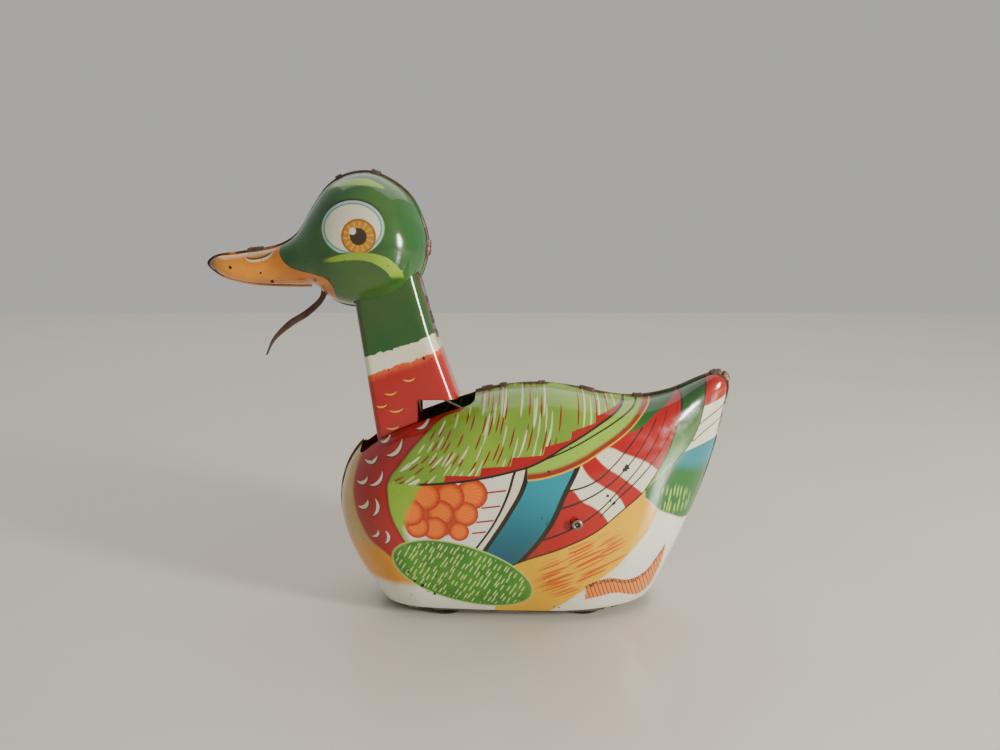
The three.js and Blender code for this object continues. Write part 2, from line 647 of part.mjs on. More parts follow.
function wheel(side) {
  const { radius, thick, bore, rim, hub, dish } = WHEEL;
  const profile = [
    [bore, 0], [radius, 0], [radius, thick], [radius - rim, thick], [radius - rim, thick - dish],
    [hub, thick - dish], [hub, thick], [bore, thick], [bore, 0],
  ];
  const made = turned(profile, 20);
  return side > 0 ? made : mirroredY(made);
}

function mirroredY(manifold) {
  const geometry = geometryOf(manifold);
  geometry.scale(1, -1, 1);
  return solid(turnedInsideOut(geometry));
}

// A tubular rivet through a shell, with a flange outside. Its axis is Y and it points to +Y.
function eyelet({ bore, barrel, flange }) {
  const seat = SHELL_Y_AT_ARBOR + GAP;
  return turned([
    [bore, seat - RIVET_DEPTH], [barrel, seat - RIVET_DEPTH], [barrel, seat], [flange, seat],
    [flange, seat + RIVET_FLANGE], [bore, seat + RIVET_FLANGE], [bore, seat - RIVET_DEPTH],
  ]);
}

// The click's arm lies along the ratchet's rim and its tip stands behind a tooth's steep side.
function click() {
  const { x, z, tipX, tipZ, boss, rivet, tipWide, rootOut, rootIn } = CLICK;
  const length = Math.hypot(tipX - x, tipZ - z);
  const outX = -(tipZ - z) / length;
  const outZ = (tipX - x) / length;
  const arm = polygon([
    [tipX, tipZ], [tipX + tipWide * outX, tipZ + tipWide * outZ],
    [x + rootOut * outX, z + rootOut * outZ], [x - rootIn * outX, z - rootIn * outZ],
  ]);
  return slab(arm, RATCHET.low, RATCHET.high)
    .add(bar(boss, RATCHET.low, RATCHET.high, x, z))
    .subtract(bar(rivet + GAP, -FAR, FAR, x, z, 8));
}

// ---- Materials ----

function finish(color, roughness, metalness) {
  return () => new THREE.MeshStandardMaterial({ color, roughness, metalness });
}

const printedGreen = finish(0x3c6b35, 0.3, 0.2);
const printedRed = finish(0xb8322a, 0.3, 0.2);
const steel = finish(0x8d8b86, 0.4, 0.9);
const brass = finish(0xb08d45, 0.35, 0.9);
const blued = finish(0x4a4d55, 0.35, 0.9);
const darkTin = finish(0x3a3836, 0.5, 0.6);

// ---- Assembly ----

const duck = new THREE.Group();

function piece(name, manifold, material, at = [0, 0, 0], parent = duck) {
  const mesh = new THREE.Mesh(geometryOf(manifold), material());
  mesh.name = name;
  mesh.position.set(...at);
  parent.add(mesh);
  return mesh;
}

const SIDES = [['left', -1], ['right', 1]];

const body = bodyPair();
const head = headPair();
for (const [name, side] of SIDES) {
  piece(`body_shell_${name}`, half(body, side), printedRed);
  piece(`head_shell_${name}`, half(head, side), printedGreen);
}
piece('base_plate', basePlate(), steel);

piece('neck_tube', neckTube(), printedRed);
piece('neck_axle', bar(NECK_AXLE_RADIUS, -BRACKET_PIN_HALF, BRACKET_PIN_HALF), steel,
  [NECK_PIVOT.x, 0, NECK_PIVOT.z]);
piece('front_bracket', bracket([
  { ...NECK_PIVOT, radius: NECK_AXLE_RADIUS }, TONGUE_ANCHOR,
  { x: FRONT_AXLE_X, z: AXLE_Z, radius: AXLE_RADIUS },
]), steel);
piece('tongue_anchor_pin', bar(TONGUE_ANCHOR.radius, -BRACKET_PIN_HALF, BRACKET_PIN_HALF), steel,
  [TONGUE_ANCHOR.x, 0, TONGUE_ANCHOR.z]);

const tonguePinHole = bar(TONGUE_PIN_RADIUS + GAP, -FAR, FAR, TONGUE_PIVOT.x, TONGUE_PIVOT.z, 12);
piece('tongue_strip', strip(TONGUE_LINE, TONGUE_THICK).subtract(tonguePinHole), steel);
piece('tongue_pin', bar(TONGUE_PIN_RADIUS, -TONGUE_PIN_HALF, TONGUE_PIN_HALF, 0, 0, 12), steel,
  [TONGUE_PIVOT.x, 0, TONGUE_PIVOT.z]);
const tongueWirePoints = TONGUE_WIRE_LINE.map(([x, z]) => [x, TONGUE_WIRE_Y, z]);
piece('tongue_wire', wire(tongueWirePoints, TONGUE_WIRE_RADIUS, 6, 14), steel);

for (const [end, x] of [['front', FRONT_AXLE_X], ['rear', REAR_AXLE.x]]) {
  piece(`${end}_axle`, bar(AXLE_RADIUS, -AXLE_HALF, AXLE_HALF), steel, [x, 0, AXLE_Z]);
  for (const [name, side] of SIDES) {
    piece(`${end}_wheel_${name}`, wheel(side), darkTin, [x, side * WHEEL.inner, AXLE_Z]);
  }
}
for (const [name, side] of SIDES) {
  piece(`movement_plate_${name}`, movementPlate(side), steel);
}
for (const [name, [x, z]] of Object.entries(PILLARS)) {
  piece(`pillar_${name}`, bar(PILLAR_RADIUS, -PLATE.inner + GAP, PLATE.inner - GAP), steel, [x, 0, z]);
}

const windingAxis = new THREE.Group();
windingAxis.position.set(ARBOR.x, 0, ARBOR.z);
duck.add(windingAxis);
piece('winding_arbor', windingArbor(), steel, [0, 0, 0], windingAxis);
piece('winding_key', windingKey(), steel, [0, 0, 0], windingAxis);
piece('ratchet_wheel', ratchetWheel(), steel, [0, 0, 0], windingAxis);
piece('mainspring', mainspring(), blued, [0, 0, 0], windingAxis);
piece('great_wheel', greatWheel(), brass, [0, 0, 0], windingAxis);
piece('click', click(), steel, [0, 0, 0], windingAxis);
piece('click_rivet', bar(CLICK.rivet, ...CLICK_RIVET_Y, 0, 0, 8), steel, [CLICK.x, 0, CLICK.z], windingAxis);
piece('key_bushing', eyelet(KEY_BUSHING), brass, [0, 0, 0], windingAxis);
piece('arbor_eyelet', mirroredY(eyelet(EYELET)), steel, [0, 0, 0], windingAxis);

const secondAxis = new THREE.Group();
secondAxis.position.set(SECOND.x, 0, SECOND.z);
duck.add(secondAxis);
const smallBore = SMALL_ARBOR_RADIUS + GEAR_FIT;
piece('second_arbor', bar(SMALL_ARBOR_RADIUS, -ARBOR_HALF, ARBOR_HALF), steel, [0, 0, 0], secondAxis);
piece('second_pinion', gear('secondPinion', GEAR_Y.pinion, smallBore), brass, [0, 0, 0], secondAxis);
piece('second_wheel', gear('second', GEAR_Y.second, smallBore), brass, [0, 0, 0], secondAxis);
piece('axle_pinion', gear('axlePinion', GEAR_Y.axlePinion, AXLE_RADIUS + GEAR_FIT), brass,
  [REAR_AXLE.x, 0, REAR_AXLE.z]);

const crankAxis = new THREE.Group();
crankAxis.position.set(CRANK.x, 0, CRANK.z);
duck.add(crankAxis);
piece('crank_arbor', crankArbor(), steel, [0, 0, 0], crankAxis);
piece('crank_pinion', gear('crankPinion', GEAR_Y.pinion, smallBore), brass, [0, 0, 0], crankAxis);
piece('connecting_rod', connectingRod(), steel);

export default duck;
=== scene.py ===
"""A clockwork tin duck, built round its CAD frame. Sizes and places are millimetres in that frame."""
import json
import math

import bmesh
import bpy
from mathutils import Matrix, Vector, noise

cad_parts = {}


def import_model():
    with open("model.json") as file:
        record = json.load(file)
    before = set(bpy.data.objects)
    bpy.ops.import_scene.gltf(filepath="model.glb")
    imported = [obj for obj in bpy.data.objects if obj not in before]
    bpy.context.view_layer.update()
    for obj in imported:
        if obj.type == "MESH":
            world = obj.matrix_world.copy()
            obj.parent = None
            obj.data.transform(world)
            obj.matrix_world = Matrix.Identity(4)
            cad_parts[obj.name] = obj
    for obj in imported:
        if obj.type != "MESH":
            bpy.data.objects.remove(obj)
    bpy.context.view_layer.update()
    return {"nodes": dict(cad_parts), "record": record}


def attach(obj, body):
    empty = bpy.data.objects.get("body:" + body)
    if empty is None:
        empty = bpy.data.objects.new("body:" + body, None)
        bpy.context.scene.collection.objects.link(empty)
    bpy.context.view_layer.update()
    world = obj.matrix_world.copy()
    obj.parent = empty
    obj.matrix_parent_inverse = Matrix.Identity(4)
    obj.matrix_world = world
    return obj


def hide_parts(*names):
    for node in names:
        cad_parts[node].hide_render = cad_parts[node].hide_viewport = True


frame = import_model()

MM = 0.001

# ---- Form of the stamped shells, as in the frame ----

BODY_OUTLINE = [
    (-47, 63.4), (-55.5, 57.6), (-60.6, 51), (-63.7, 42.5), (-64.5, 34), (-63.2, 25.5), (-59.6, 16),
    (-53.8, 6), (-45, -6), (-30, -14), (0, -16), (25, -15), (40, -8.5), (48.5, 1), (53, 10), (57.5, 20),
    (61.3, 29), (65.8, 41.5), (69.4, 54), (72, 67), (73.6, 76.5), (72.6, 80.6), (69.5, 82), (64, 80.4),
    (52, 75.4), (38, 73.4), (18, 76.8), (7, 78), (-5, 77.2), (-15, 75.4), (-31, 70),
]
BODY_SPINE = [(-36, 34), (-12, 35), (12, 40), (36, 52), (64, 74)]
BODY_WIDTHS = [(-60, 24.6), (-37, 25.4), (-12, 27.4), (13, 27.6), (42, 21.5), (64, 13), (78, 7), (90, 5)]
BODY_LEAN = (0.35, 36)
BODY_FULLNESS = 2.6
HEAD_OUTLINE = [
    (-107, 119.4), (-104.4, 122), (-95, 123.6), (-82, 126), (-76, 129.6), (-70.6, 137.8), (-65, 145.3),
    (-58.6, 149.2), (-50.5, 150.2), (-43.5, 147.6), (-37, 142.4), (-32.8, 134.5), (-31, 126.5),
    (-32.3, 118.5), (-36, 111.5), (-43, 106.5), (-52, 104.4), (-60, 105), (-64.8, 107.2), (-69, 110.9),
    (-76, 111.3), (-85, 111.5), (-94, 112.4), (-102.4, 115),
]
HEAD_SPINE = [(-50, 127), (-98, 118.2)]
HEAD_WIDTHS = [(-107, 6), (-96, 7), (-84, 8), (-76, 10.5), (-68, 15), (-60, 18.2), (-50, 19), (-30, 19)]
HEAD_LEAN = (0, 0)
HEAD_FULLNESS = 2.2
SEAM_INSET = 0.7
SEAM_GAP_HALF = 0.13
TIN = 0.35
SHELL_RINGS = 30
LIP = [(0.12, 0), (0.0, 0.12), (0.0, 0.4), (0.1, 0.62), (0.28, 0.76), (0.5, 0.86), (0.66, 0.98)]
LOWER_EDGE = {"height": 1.6, "tuck_below": 9, "tuck": 0.055}
SLOT = {"front": -55.8, "rear": -15.6, "half": 10, "bottom": 50, "top": 120, "round": 3}
EYELET_HOLE = {"x": 18.3, "z": 35.7, "near": 1.35, "key_side": 2.6}
MOUTH = {"front": -71.8, "back": -64.5, "top": 115, "half": 3}
NECK_HALF = 9
NECK_FRONT = (-49.8, 60.3, -0.131)
NECK_REAR = [(-19.6, 68), (-22.1, 75.4), (-25.1, 83.8), (-29.7, 97.3), (-34.1, 114.1), (-35.6, 120)]
NECK_LOW, NECK_TOP = 41, 119
NECK_TANG_REAR, NECK_TANG_TOP = -35.2, 73.3
NECK_CORNERS = (2.5, 5)
NECK_GAP = 0.3
NECK_TIN = 0.6
NECK_PIVOT = {"x": -41.5, "z": 46, "hole": 1.6}
NECK_RELIEF = 4
TONGUE_WAY = ((-90, -6, 110), (-50, 6, 140))


# ---- Mesh helpers ----

def catmull(points, closed, per_segment):
    """Centripetal Catmull-Rom points through the given ones."""
    count = len(points)
    control = [Vector(p) for p in points]

    def at(i):
        if closed:
            return control[i % count]
        if i < 0:
            return control[0] * 2 - control[1]
        if i >= count:
            return control[-1] * 2 - control[-2]
        return control[i]

    made = []
    for i in range(count if closed else count - 1):
        p0, p1, p2, p3 = at(i - 1), at(i), at(i + 1), at(i + 2)
        t01, t12, t23 = [max((b - a).length ** 0.5, 1e-4) for a, b in ((p0, p1), (p1, p2), (p2, p3))]
        m1 = ((p1 - p0) / t01 - (p2 - p0) / (t01 + t12) + (p2 - p1) / t12) * t12
        m2 = ((p2 - p1) / t12 - (p3 - p1) / (t12 + t23) + (p3 - p2) / t23) * t12
        for k in range(per_segment):
            s = k / per_segment
            cubic = (p1 - p2) * 2 + m1 + m2
            square = (p2 - p1) * 3 - m1 * 2 - m2
            made.append(p1 + m1 * s + square * s ** 2 + cubic * s ** 3)
    if not closed:
        made.append(control[-1])
    return made


def smoothly(pairs, position):
    """A smooth value between (position, value) pairs."""
    i = 1
    while i < len(pairs) - 1 and pairs[i][0] < position:
        i += 1

    def slope(k):
        (a0, v0), (a1, v1) = pairs[max(k - 1, 0)], pairs[min(k + 1, len(pairs) - 1)]
        return (v1 - v0) / (a1 - a0)

    (p0, v0), (p1, v1) = pairs[i - 1], pairs[i]
    span = p1 - p0
    t = min(max((position - p0) / span, 0), 1)
    bend = span * t * (1 - t) * ((1 - t) * slope(i - 1) - t * slope(i))
    return v0 + (v1 - v0) * t * t * (3 - 2 * t) + bend


def ray_to_outline(start, direction, outline):
    """Distance from start along direction to the closed outline."""
    best = None
    for a, b in zip(outline, outline[1:] + outline[:1]):
        edge = b - a
        cross = direction.x * edge.y - direction.y * edge.x
        if abs(cross) < 1e-9:
            continue
        offset = a - start
        along = (offset.x * edge.y - offset.y * edge.x) / cross
        on_edge = (offset.x * direction.y - offset.y * direction.x) / cross
        if along > 0 and 0 <= on_edge <= 1 and (best is None or along < best):
            best = along
    return best


class Pillow:
    """Half of a stamped form: spokes from its spine to its outline, each rising to the full width."""

    def __init__(self, outline, spine, widths, lean, fullness, ribs, fan):
        self.outline = catmull(outline, True, 24)
        self.widths, self.lean, self.fullness = widths, lean, fullness
        line = catmull(spine, False, 40)
        self.spokes = self.ribs_and_fans(line, ribs, fan)

    def ribs_and_fans(self, line, ribs, fan):
        """Spokes in order round the form: along the top, round the far end, back below, round the near end."""
        last = len(line) - 1
        places = [round(k * last / ribs) for k in range(ribs + 1)]
        tangent = {k: (line[min(k + 1, last)] - line[max(k - 1, 0)]).normalized() for k in places}
        top = [(line[k], self.turned(tangent[k], 90)) for k in places]
        below = [(line[k], self.turned(tangent[k], -90)) for k in reversed(places)]
        end = [(line[last], self.turned(tangent[last], 90 - 180 * k / fan)) for k in range(1, fan)]
        start = [(line[0], self.turned(tangent[0], -90 - 180 * k / fan)) for k in range(1, fan)]
        spokes = top + end + below + start
        return [(root, way * ray_to_outline(root, way, self.outline)) for root, way in spokes]

    @staticmethod
    def turned(vector, degrees):
        angle = math.radians(degrees)
        c, s = math.cos(angle), math.sin(angle)
        return Vector((vector.x * c - vector.y * s, vector.x * s + vector.y * c))

    def width(self, point):
        return smoothly(self.widths, point.x + self.lean[0] * (point.y - self.lean[1])) - SEAM_INSET

    def skin(self, root, reach, angle):
        """Point of the skin on one spoke; angle 0 is at the seam and 90 on the spine."""
        inner = reach * ((reach.length - SEAM_INSET) / reach.length)
        point = root + inner * max(math.cos(angle), 0) ** (2 / self.fullness)
        low = max(0, 1 - point.y / LOWER_EDGE["tuck_below"])
        return (point.x, self.width(point) * math.sin(angle) * (1 - LOWER_EDGE["tuck"] * low ** 2), point.y)

    def rim(self, root, reach, depth, height):
        """Point of the crimped lip: depth in from the outline, height from the middle plane."""
        point = root + reach * ((reach.length - depth) / reach.length)
        return (point.x, SEAM_GAP_HALF + height, point.y)

    def way_out(self, point):
        """The way from the form's middle out to a point of its outline."""
        return min(self.spokes, key=lambda spoke: (spoke[0] + spoke[1] - point).length)[1]

    def rings(self):
        first = math.radians(3.5)
        angles = [first + (math.pi / 2 - first) * (k / SHELL_RINGS) for k in range(SHELL_RINGS + 1)]
        rows = [[self.rim(root, reach, *place) for root, reach in self.spokes] for place in LIP]
        return rows + [[self.skin(root, reach, angle) for root, reach in self.spokes] for angle in angles]


def mesh_object(name, points, faces, smooth=True):
    mesh = bpy.data.meshes.new(name)
    mesh.from_pydata([tuple(c * MM for c in p) for p in points], [], faces)
    tidy = bmesh.new()
    tidy.from_mesh(mesh)
    bmesh.ops.remove_doubles(tidy, verts=tidy.verts, dist=0.002 * MM)
    bmesh.ops.dissolve_degenerate(tidy, edges=tidy.edges, dist=0.001 * MM)
    bmesh.ops.recalc_face_normals(tidy, faces=tidy.faces)
    for face in tidy.faces:
        face.smooth = smooth
    tidy.to_mesh(mesh)
    tidy.free()
    made = bpy.data.objects.new(name, mesh)
    bpy.context.scene.collection.objects.link(made)
    return made


def grid_faces(rows, columns, closed=True):
    """Quads over rows of points, each row closed or open."""
    faces = []
    for row in range(rows - 1):
        for i in range(columns if closed else columns - 1):
            j = (i + 1) % columns
            here, above = row * columns, (row + 1) * columns
            faces.append((here + i, here + j, above + j, above + i))
    return faces


def loft(name, rows, caps=False, smooth=True):
    columns = len(rows[0])
    faces = grid_faces(len(rows), columns)
    if caps:
        faces.append(tuple(range(columns)))
        faces.append(tuple(range((len(rows) - 1) * columns, len(rows) * columns)))
    return mesh_object(name, [p for row in rows for p in row], faces, smooth)


def block(low, high):
    """A box to cut with."""
    corners = [(x, y, z) for z in (low[2], high[2]) for y in (low[1], high[1]) for x in (low[0], high[0])]
    faces = [(0, 2, 3, 1), (4, 5, 7, 6), (0, 1, 5, 4), (2, 6, 7, 3), (0, 4, 6, 2), (1, 3, 7, 5)]
    return mesh_object("cutter", corners, faces, smooth=False)


def circle(sides):
    """Angles evenly round a circle."""
    return [2 * math.pi * k / sides for k in range(sides)]


def rod_along_y(radius, low, high, x, z):
    """A round bar to cut with."""
    rows = [[(x + radius * math.cos(a), y, z + radius * math.sin(a)) for a in circle(32)] for y in (low, high)]
    return loft("cutter", rows, caps=True, smooth=False)


def slot_cutter():
    """The opening for the neck, with rounded corners in plan."""
    outline = []
    r = SLOT["round"]
    corners = [(SLOT["rear"], SLOT["half"], 0), (SLOT["front"], SLOT["half"], 90),
               (SLOT["front"], -SLOT["half"], 180), (SLOT["rear"], -SLOT["half"], 270)]
    for x, y, start in corners:
        mid_x = x - math.copysign(r, x - (SLOT["front"] + SLOT["rear"]) / 2)
        mid_y = y - math.copysign(r, y)
        for step in range(7):
            angle = math.radians(start + 15 * step)
            outline.append((mid_x + r * math.cos(angle), mid_y + r * math.sin(angle)))
    rows = [[(x, y, z) for x, y in outline] for z in (SLOT["bottom"], SLOT["top"])]
    return loft("cutter", rows, caps=True, smooth=False)


def modify(obj, kind, **values):
    modifier = obj.modifiers.new(kind.lower(), kind)
    for key, value in values.items():
        setattr(modifier, key, value)
    return modifier


def cut(obj, cutter):
    modify(obj, "BOOLEAN", operation="DIFFERENCE", solver="MANIFOLD", object=cutter)


def settle(obj, cutters=()):
    """Makes the modifiers part of the mesh, and removes what cut it."""
    bpy.context.view_layer.update()
    graph = bpy.context.evaluated_depsgraph_get()
    fixed = bpy.data.meshes.new_from_object(obj.evaluated_get(graph))
    obj.modifiers.clear()
    obj.data = fixed
    for cutter in cutters:
        bpy.data.objects.remove(cutter)
    for polygon in fixed.polygons:
        polygon.use_smooth = True
    fixed.set_sharp_from_angle(angle=math.radians(38))
    return obj


def keep_above(obj, height):
    """Cuts away what lies below a height."""
    cutting = bmesh.new()
    cutting.from_mesh(obj.data)
    everything = cutting.verts[:] + cutting.edges[:] + cutting.faces[:]
    bmesh.ops.bisect_plane(
        cutting, geom=everything, plane_co=(0, 0, height * MM), plane_no=(0, 0, 1), clear_inner=True)
    cutting.to_mesh(obj.data)
    cutting.free()


def join(obj, other):
    """Adds another object's mesh to this one's, and removes the other."""
    joined = bmesh.new()
    joined.from_mesh(obj.data)
    joined.from_mesh(other.data)
    joined.to_mesh(obj.data)
    joined.free()
    bpy.data.objects.remove(other)
    return obj


def mirrored_rows(rows, side):
    return [[(x, y * side, z) for x, y, z in row] for row in rows]


# ---- Stamped shells and neck ----

def half_shell(name, form, side, low=None):
    shell = loft(name, mirrored_rows(form.rings(), side))
    if low is not None:
        keep_above(shell, low)
    inwards = bmesh.new()
    inwards.from_mesh(shell.data)
    bmesh.ops.recalc_face_normals(inwards, faces=inwards.faces)
    highest = max(inwards.faces, key=lambda f: f.calc_center_median().y * side)
    if highest.normal.y * side < 0:
        bmesh.ops.reverse_faces(inwards, faces=inwards.faces)
    inwards.to_mesh(shell.data)
    inwards.free()
    modify(shell, "SOLIDIFY", thickness=TIN * MM, offset=-1, use_even_offset=False)
    return shell


def body_shell(name, side):
    shell = half_shell(name, BODY_FORM, side, low=LOWER_EDGE["height"])
    hole = EYELET_HOLE["near"] if side < 0 else EYELET_HOLE["key_side"]
    cutters = [slot_cutter(), rod_along_y(hole, 5 * side, 60 * side, EYELET_HOLE["x"], EYELET_HOLE["z"])]
    for cutter in cutters:
        cut(shell, cutter)
    return settle(shell, cutters)


def head_shell(name, side):
    shell = half_shell(name, HEAD_FORM, side)
    mouth = block((MOUTH["front"], -MOUTH["half"], 100), (MOUTH["back"], MOUTH["half"], MOUTH["top"]))
    cutters = [mouth, loft("cutter", neck_rows(NECK_GAP, 90, NECK_TOP + NECK_GAP), caps=True)]
    for cutter in cutters:
        cut(shell, cutter)
    return settle(shell, cutters)


def neck_rear(z):
    """How far back the neck reaches at a height."""
    i = 1
    while i < len(NECK_REAR) - 1 and NECK_REAR[i][1] < z:
        i += 1
    (x0, z0), (x1, z1) = NECK_REAR[i - 1], NECK_REAR[i]
    return x0 + (x1 - x0) * (z - z0) / (z1 - z0)


def neck_row(z, out):
    """One level of the folded neck, larger all round by out."""
    front = NECK_FRONT[0] + NECK_FRONT[2] * (z - NECK_FRONT[1]) - out
    rear = neck_rear(z) + out
    half = NECK_HALF + out
    row = []
    for x, y, radius, turn in ((front, half, NECK_CORNERS[0], 90), (front, -half, NECK_CORNERS[0], 180),
                               (rear, -half, NECK_CORNERS[1], 270), (rear, half, NECK_CORNERS[1], 0)):
        mid_x = x + (radius if x == front else -radius)
        mid_y = y - math.copysign(radius, y)
        for step in range(9):
            angle = math.radians(turn + 90 * step / 8)
            row.append((mid_x + radius * math.cos(angle), mid_y + radius * math.sin(angle), z))
    return row


def neck_rows(out, low, high):
    steps = 40
    return [neck_row(low + (high - low) * k / steps, out) for k in range(steps + 1)]


def neck():
    folded = loft("neck_skin", neck_rows(0, NECK_LOW, NECK_TOP))
    modify(folded, "SOLIDIFY", thickness=NECK_TIN * MM, offset=-1, use_even_offset=True)
    cutters = [
        block((NECK_TANG_REAR, -40, 20), (0, 40, NECK_TANG_TOP)),
        rod_along_y(NECK_PIVOT["hole"], -40, 40, NECK_PIVOT["x"], NECK_PIVOT["z"]),
        rod_along_y(NECK_RELIEF, -40, 40, NECK_TANG_REAR, NECK_LOW),
        block(*TONGUE_WAY),
    ]
    for cutter in cutters:
        cut(folded, cutter)
    return settle(folded, cutters)


BODY_FORM = Pillow(BODY_OUTLINE, BODY_SPINE, BODY_WIDTHS, BODY_LEAN, BODY_FULLNESS, ribs=80, fan=56)
HEAD_FORM = Pillow(HEAD_OUTLINE, HEAD_SPINE, HEAD_WIDTHS, HEAD_LEAN, HEAD_FULLNESS, ribs=60, fan=64)


# ---- Small pieces ----

AXLES = {"front": -26, "rear": 22.6}
AXLE_HEIGHT = 7.5
WHEEL_INNER = 13.2
WHEEL_PROFILE = [
    (1.25, 0), (2.4, 0), (2.6, 0.3), (9.2, 0.3), (9.6, 0.05), (9.9, 0.3), (10, 0.8), (10, 1.9), (9.85, 2.4),
    (9.5, 2.6), (9.1, 2.5), (8.9, 2.1), (8.7, 1.5), (3.4, 1.3), (3.1, 1.6), (2.9, 2.3), (2.5, 2.6),
    (1.25, 2.6), (1.25, 0),
]
ARBOR = (18.3, 35.7)
SHELL_AT_ARBOR = 27.9
EYELET = {"bore": 0.75, "barrel": 1.05, "flange": 1.7}
BUSHING = {"bore": 1.9, "barrel": 2.25, "flange": 3.3}
TONGUE_LINE = [(-61, 116.4), (-65, 115.6), (-67.9, 114.6), (-67.4, 111), (-68.4, 107.4), (-73.6, 102.4),
               (-80, 98.4), (-85.8, 93), (-88.6, 87.6)]
TONGUE_WIDTHS = [2.4, 2.8, 3.2, 2.4, 2.1, 2.4, 2.5, 1.9, 1.2]
TONGUE_TWISTS = [0, 0, 0, 20, 30, 24, 30, 52, 70]
TONGUE_HALF_THICK = 0.2
TONGUE_PIN_HOLE = {"x": -67.9, "z": 114.6, "radius": 0.85}
ROD_LINE = [(7.2, -5.6, 55.3), (-10, -5.6, 64.1), (-18, -5.6, 68), (-24, -5.6, 71.6), (-27.4, -5.6, 73.7),
            (-28.6, -5.8, 74.3), (-28.8, -6.6, 74.4)]
ROD_RADIUS = 0.6
ROD_EYE_PROFILE = [
    (1.2, -6.1), (2.1, -6.1), (2.25, -5.9), (2.25, -5.3), (2.1, -5.1), (1.2, -5.1), (1.2, -6.1),
]
CRANK_PIN = (5.5075, 54.4175)
KEY = {"low": 30.6, "high": 40, "depth": 3, "half_thick": 0.7, "bore": 1.8, "sleeve": 2.9}
KEY_HOLES = {"x": 8, "y": 41, "radius": 2.6}
KEY_BOW = [(2, 36.5), (6, 34.7), (10.4, 35.2), (12.8, 38.2), (13, 41), (12.4, 44.2), (9.4, 46.2), (6, 45.8),
           (3.6, 44), (0, 42.4)]


def lathe(name, profile, x, z, side=1, sides=72):
    """A ring turned about an axis along Y, from (radius, y) pairs that end where they start."""
    rows = [[(x + r * math.cos(a), side * y, z + r * math.sin(a)) for a in circle(sides)] for r, y in profile]
    made = loft(name, rows)
    made.data.set_sharp_from_angle(angle=math.radians(50))
    return made


def wheel(name, x, side):
    profile = [(r, WHEEL_INNER + y) for r, y in WHEEL_PROFILE]
    return lathe(name, profile, x, AXLE_HEIGHT, side)


def rivet(name, size, side):
    """A tubular rivet with a rolled flange."""
    bore, barrel, flange = size["bore"], size["barrel"], size["flange"]
    seat, top = SHELL_AT_ARBOR, SHELL_AT_ARBOR + 0.5
    low = seat - 2.4
    profile = [(bore, low), (barrel, low), (barrel, seat), (flange, seat), (flange + 0.08, seat + 0.2),
               (flange - 0.15, top - 0.08), (flange - 0.4, top), (bore + 0.35, top), (bore + 0.1, top - 0.12),
               (bore, seat), (bore, low)]
    return lathe(name, profile, *ARBOR, side, 48)


def tongue(name):
    """A thin strip that narrows and twists towards its tip."""
    line = catmull(TONGUE_LINE, False, 8)
    rows = []
    for i, point in enumerate(line):
        share = i / 8
        k = min(int(share), len(TONGUE_LINE) - 2)
        width = TONGUE_WIDTHS[k] + (TONGUE_WIDTHS[k + 1] - TONGUE_WIDTHS[k]) * (share - k)
        twist = math.radians(TONGUE_TWISTS[k] + (TONGUE_TWISTS[k + 1] - TONGUE_TWISTS[k]) * (share - k))
        way = (line[min(i + 1, len(line) - 1)] - line[max(i - 1, 0)]).normalized()
        along, across = Vector((way.x, 0, way.y)), Vector((-way.y, 0, way.x))
        face = along.cross(across)
        wide = across * math.cos(twist) + face * math.sin(twist)
        flat = along.cross(wide)
        middle = Vector((point.x, 0, point.y))
        corners = [(-1, -1), (-0.6, -1.15), (0.6, -1.15), (1, -1), (1, 1), (0.6, 1.15), (-0.6, 1.15), (-1, 1)]
        rows.append([middle + wide * (a * width / 2) + flat * (b * TONGUE_HALF_THICK) for a, b in corners])
    blade = loft(name, rows, caps=True)
    modify(blade, "BEVEL", width=0.08 * MM, segments=2, limit_method="ANGLE")
    pin_hole = rod_along_y(TONGUE_PIN_HOLE["radius"], -9, 9, TONGUE_PIN_HOLE["x"], TONGUE_PIN_HOLE["z"])
    cut(blade, pin_hole)
    return settle(blade, [pin_hole])


def round_wire(name, points, radius):
    """A round wire through points."""
    line = [Vector(p) for p in points]
    rows = []
    for i, point in enumerate(line):
        way = (line[min(i + 1, len(line) - 1)] - line[max(i - 1, 0)]).normalized()
        side = way.cross(Vector((0, 1, 0.001))).normalized()
        up = way.cross(side)
        rows.append([point + side * (radius * math.cos(a)) + up * (radius * math.sin(a)) for a in circle(16)])
    return loft(name, rows, caps=True)


def rod(name):
    """The wire from the crank to the neck, with a flattened eye round the crank's pin."""
    wire = round_wire(name, ROD_LINE, ROD_RADIUS)
    return join(wire, lathe("rod_eye", ROD_EYE_PROFILE, *CRANK_PIN, 1, 40))


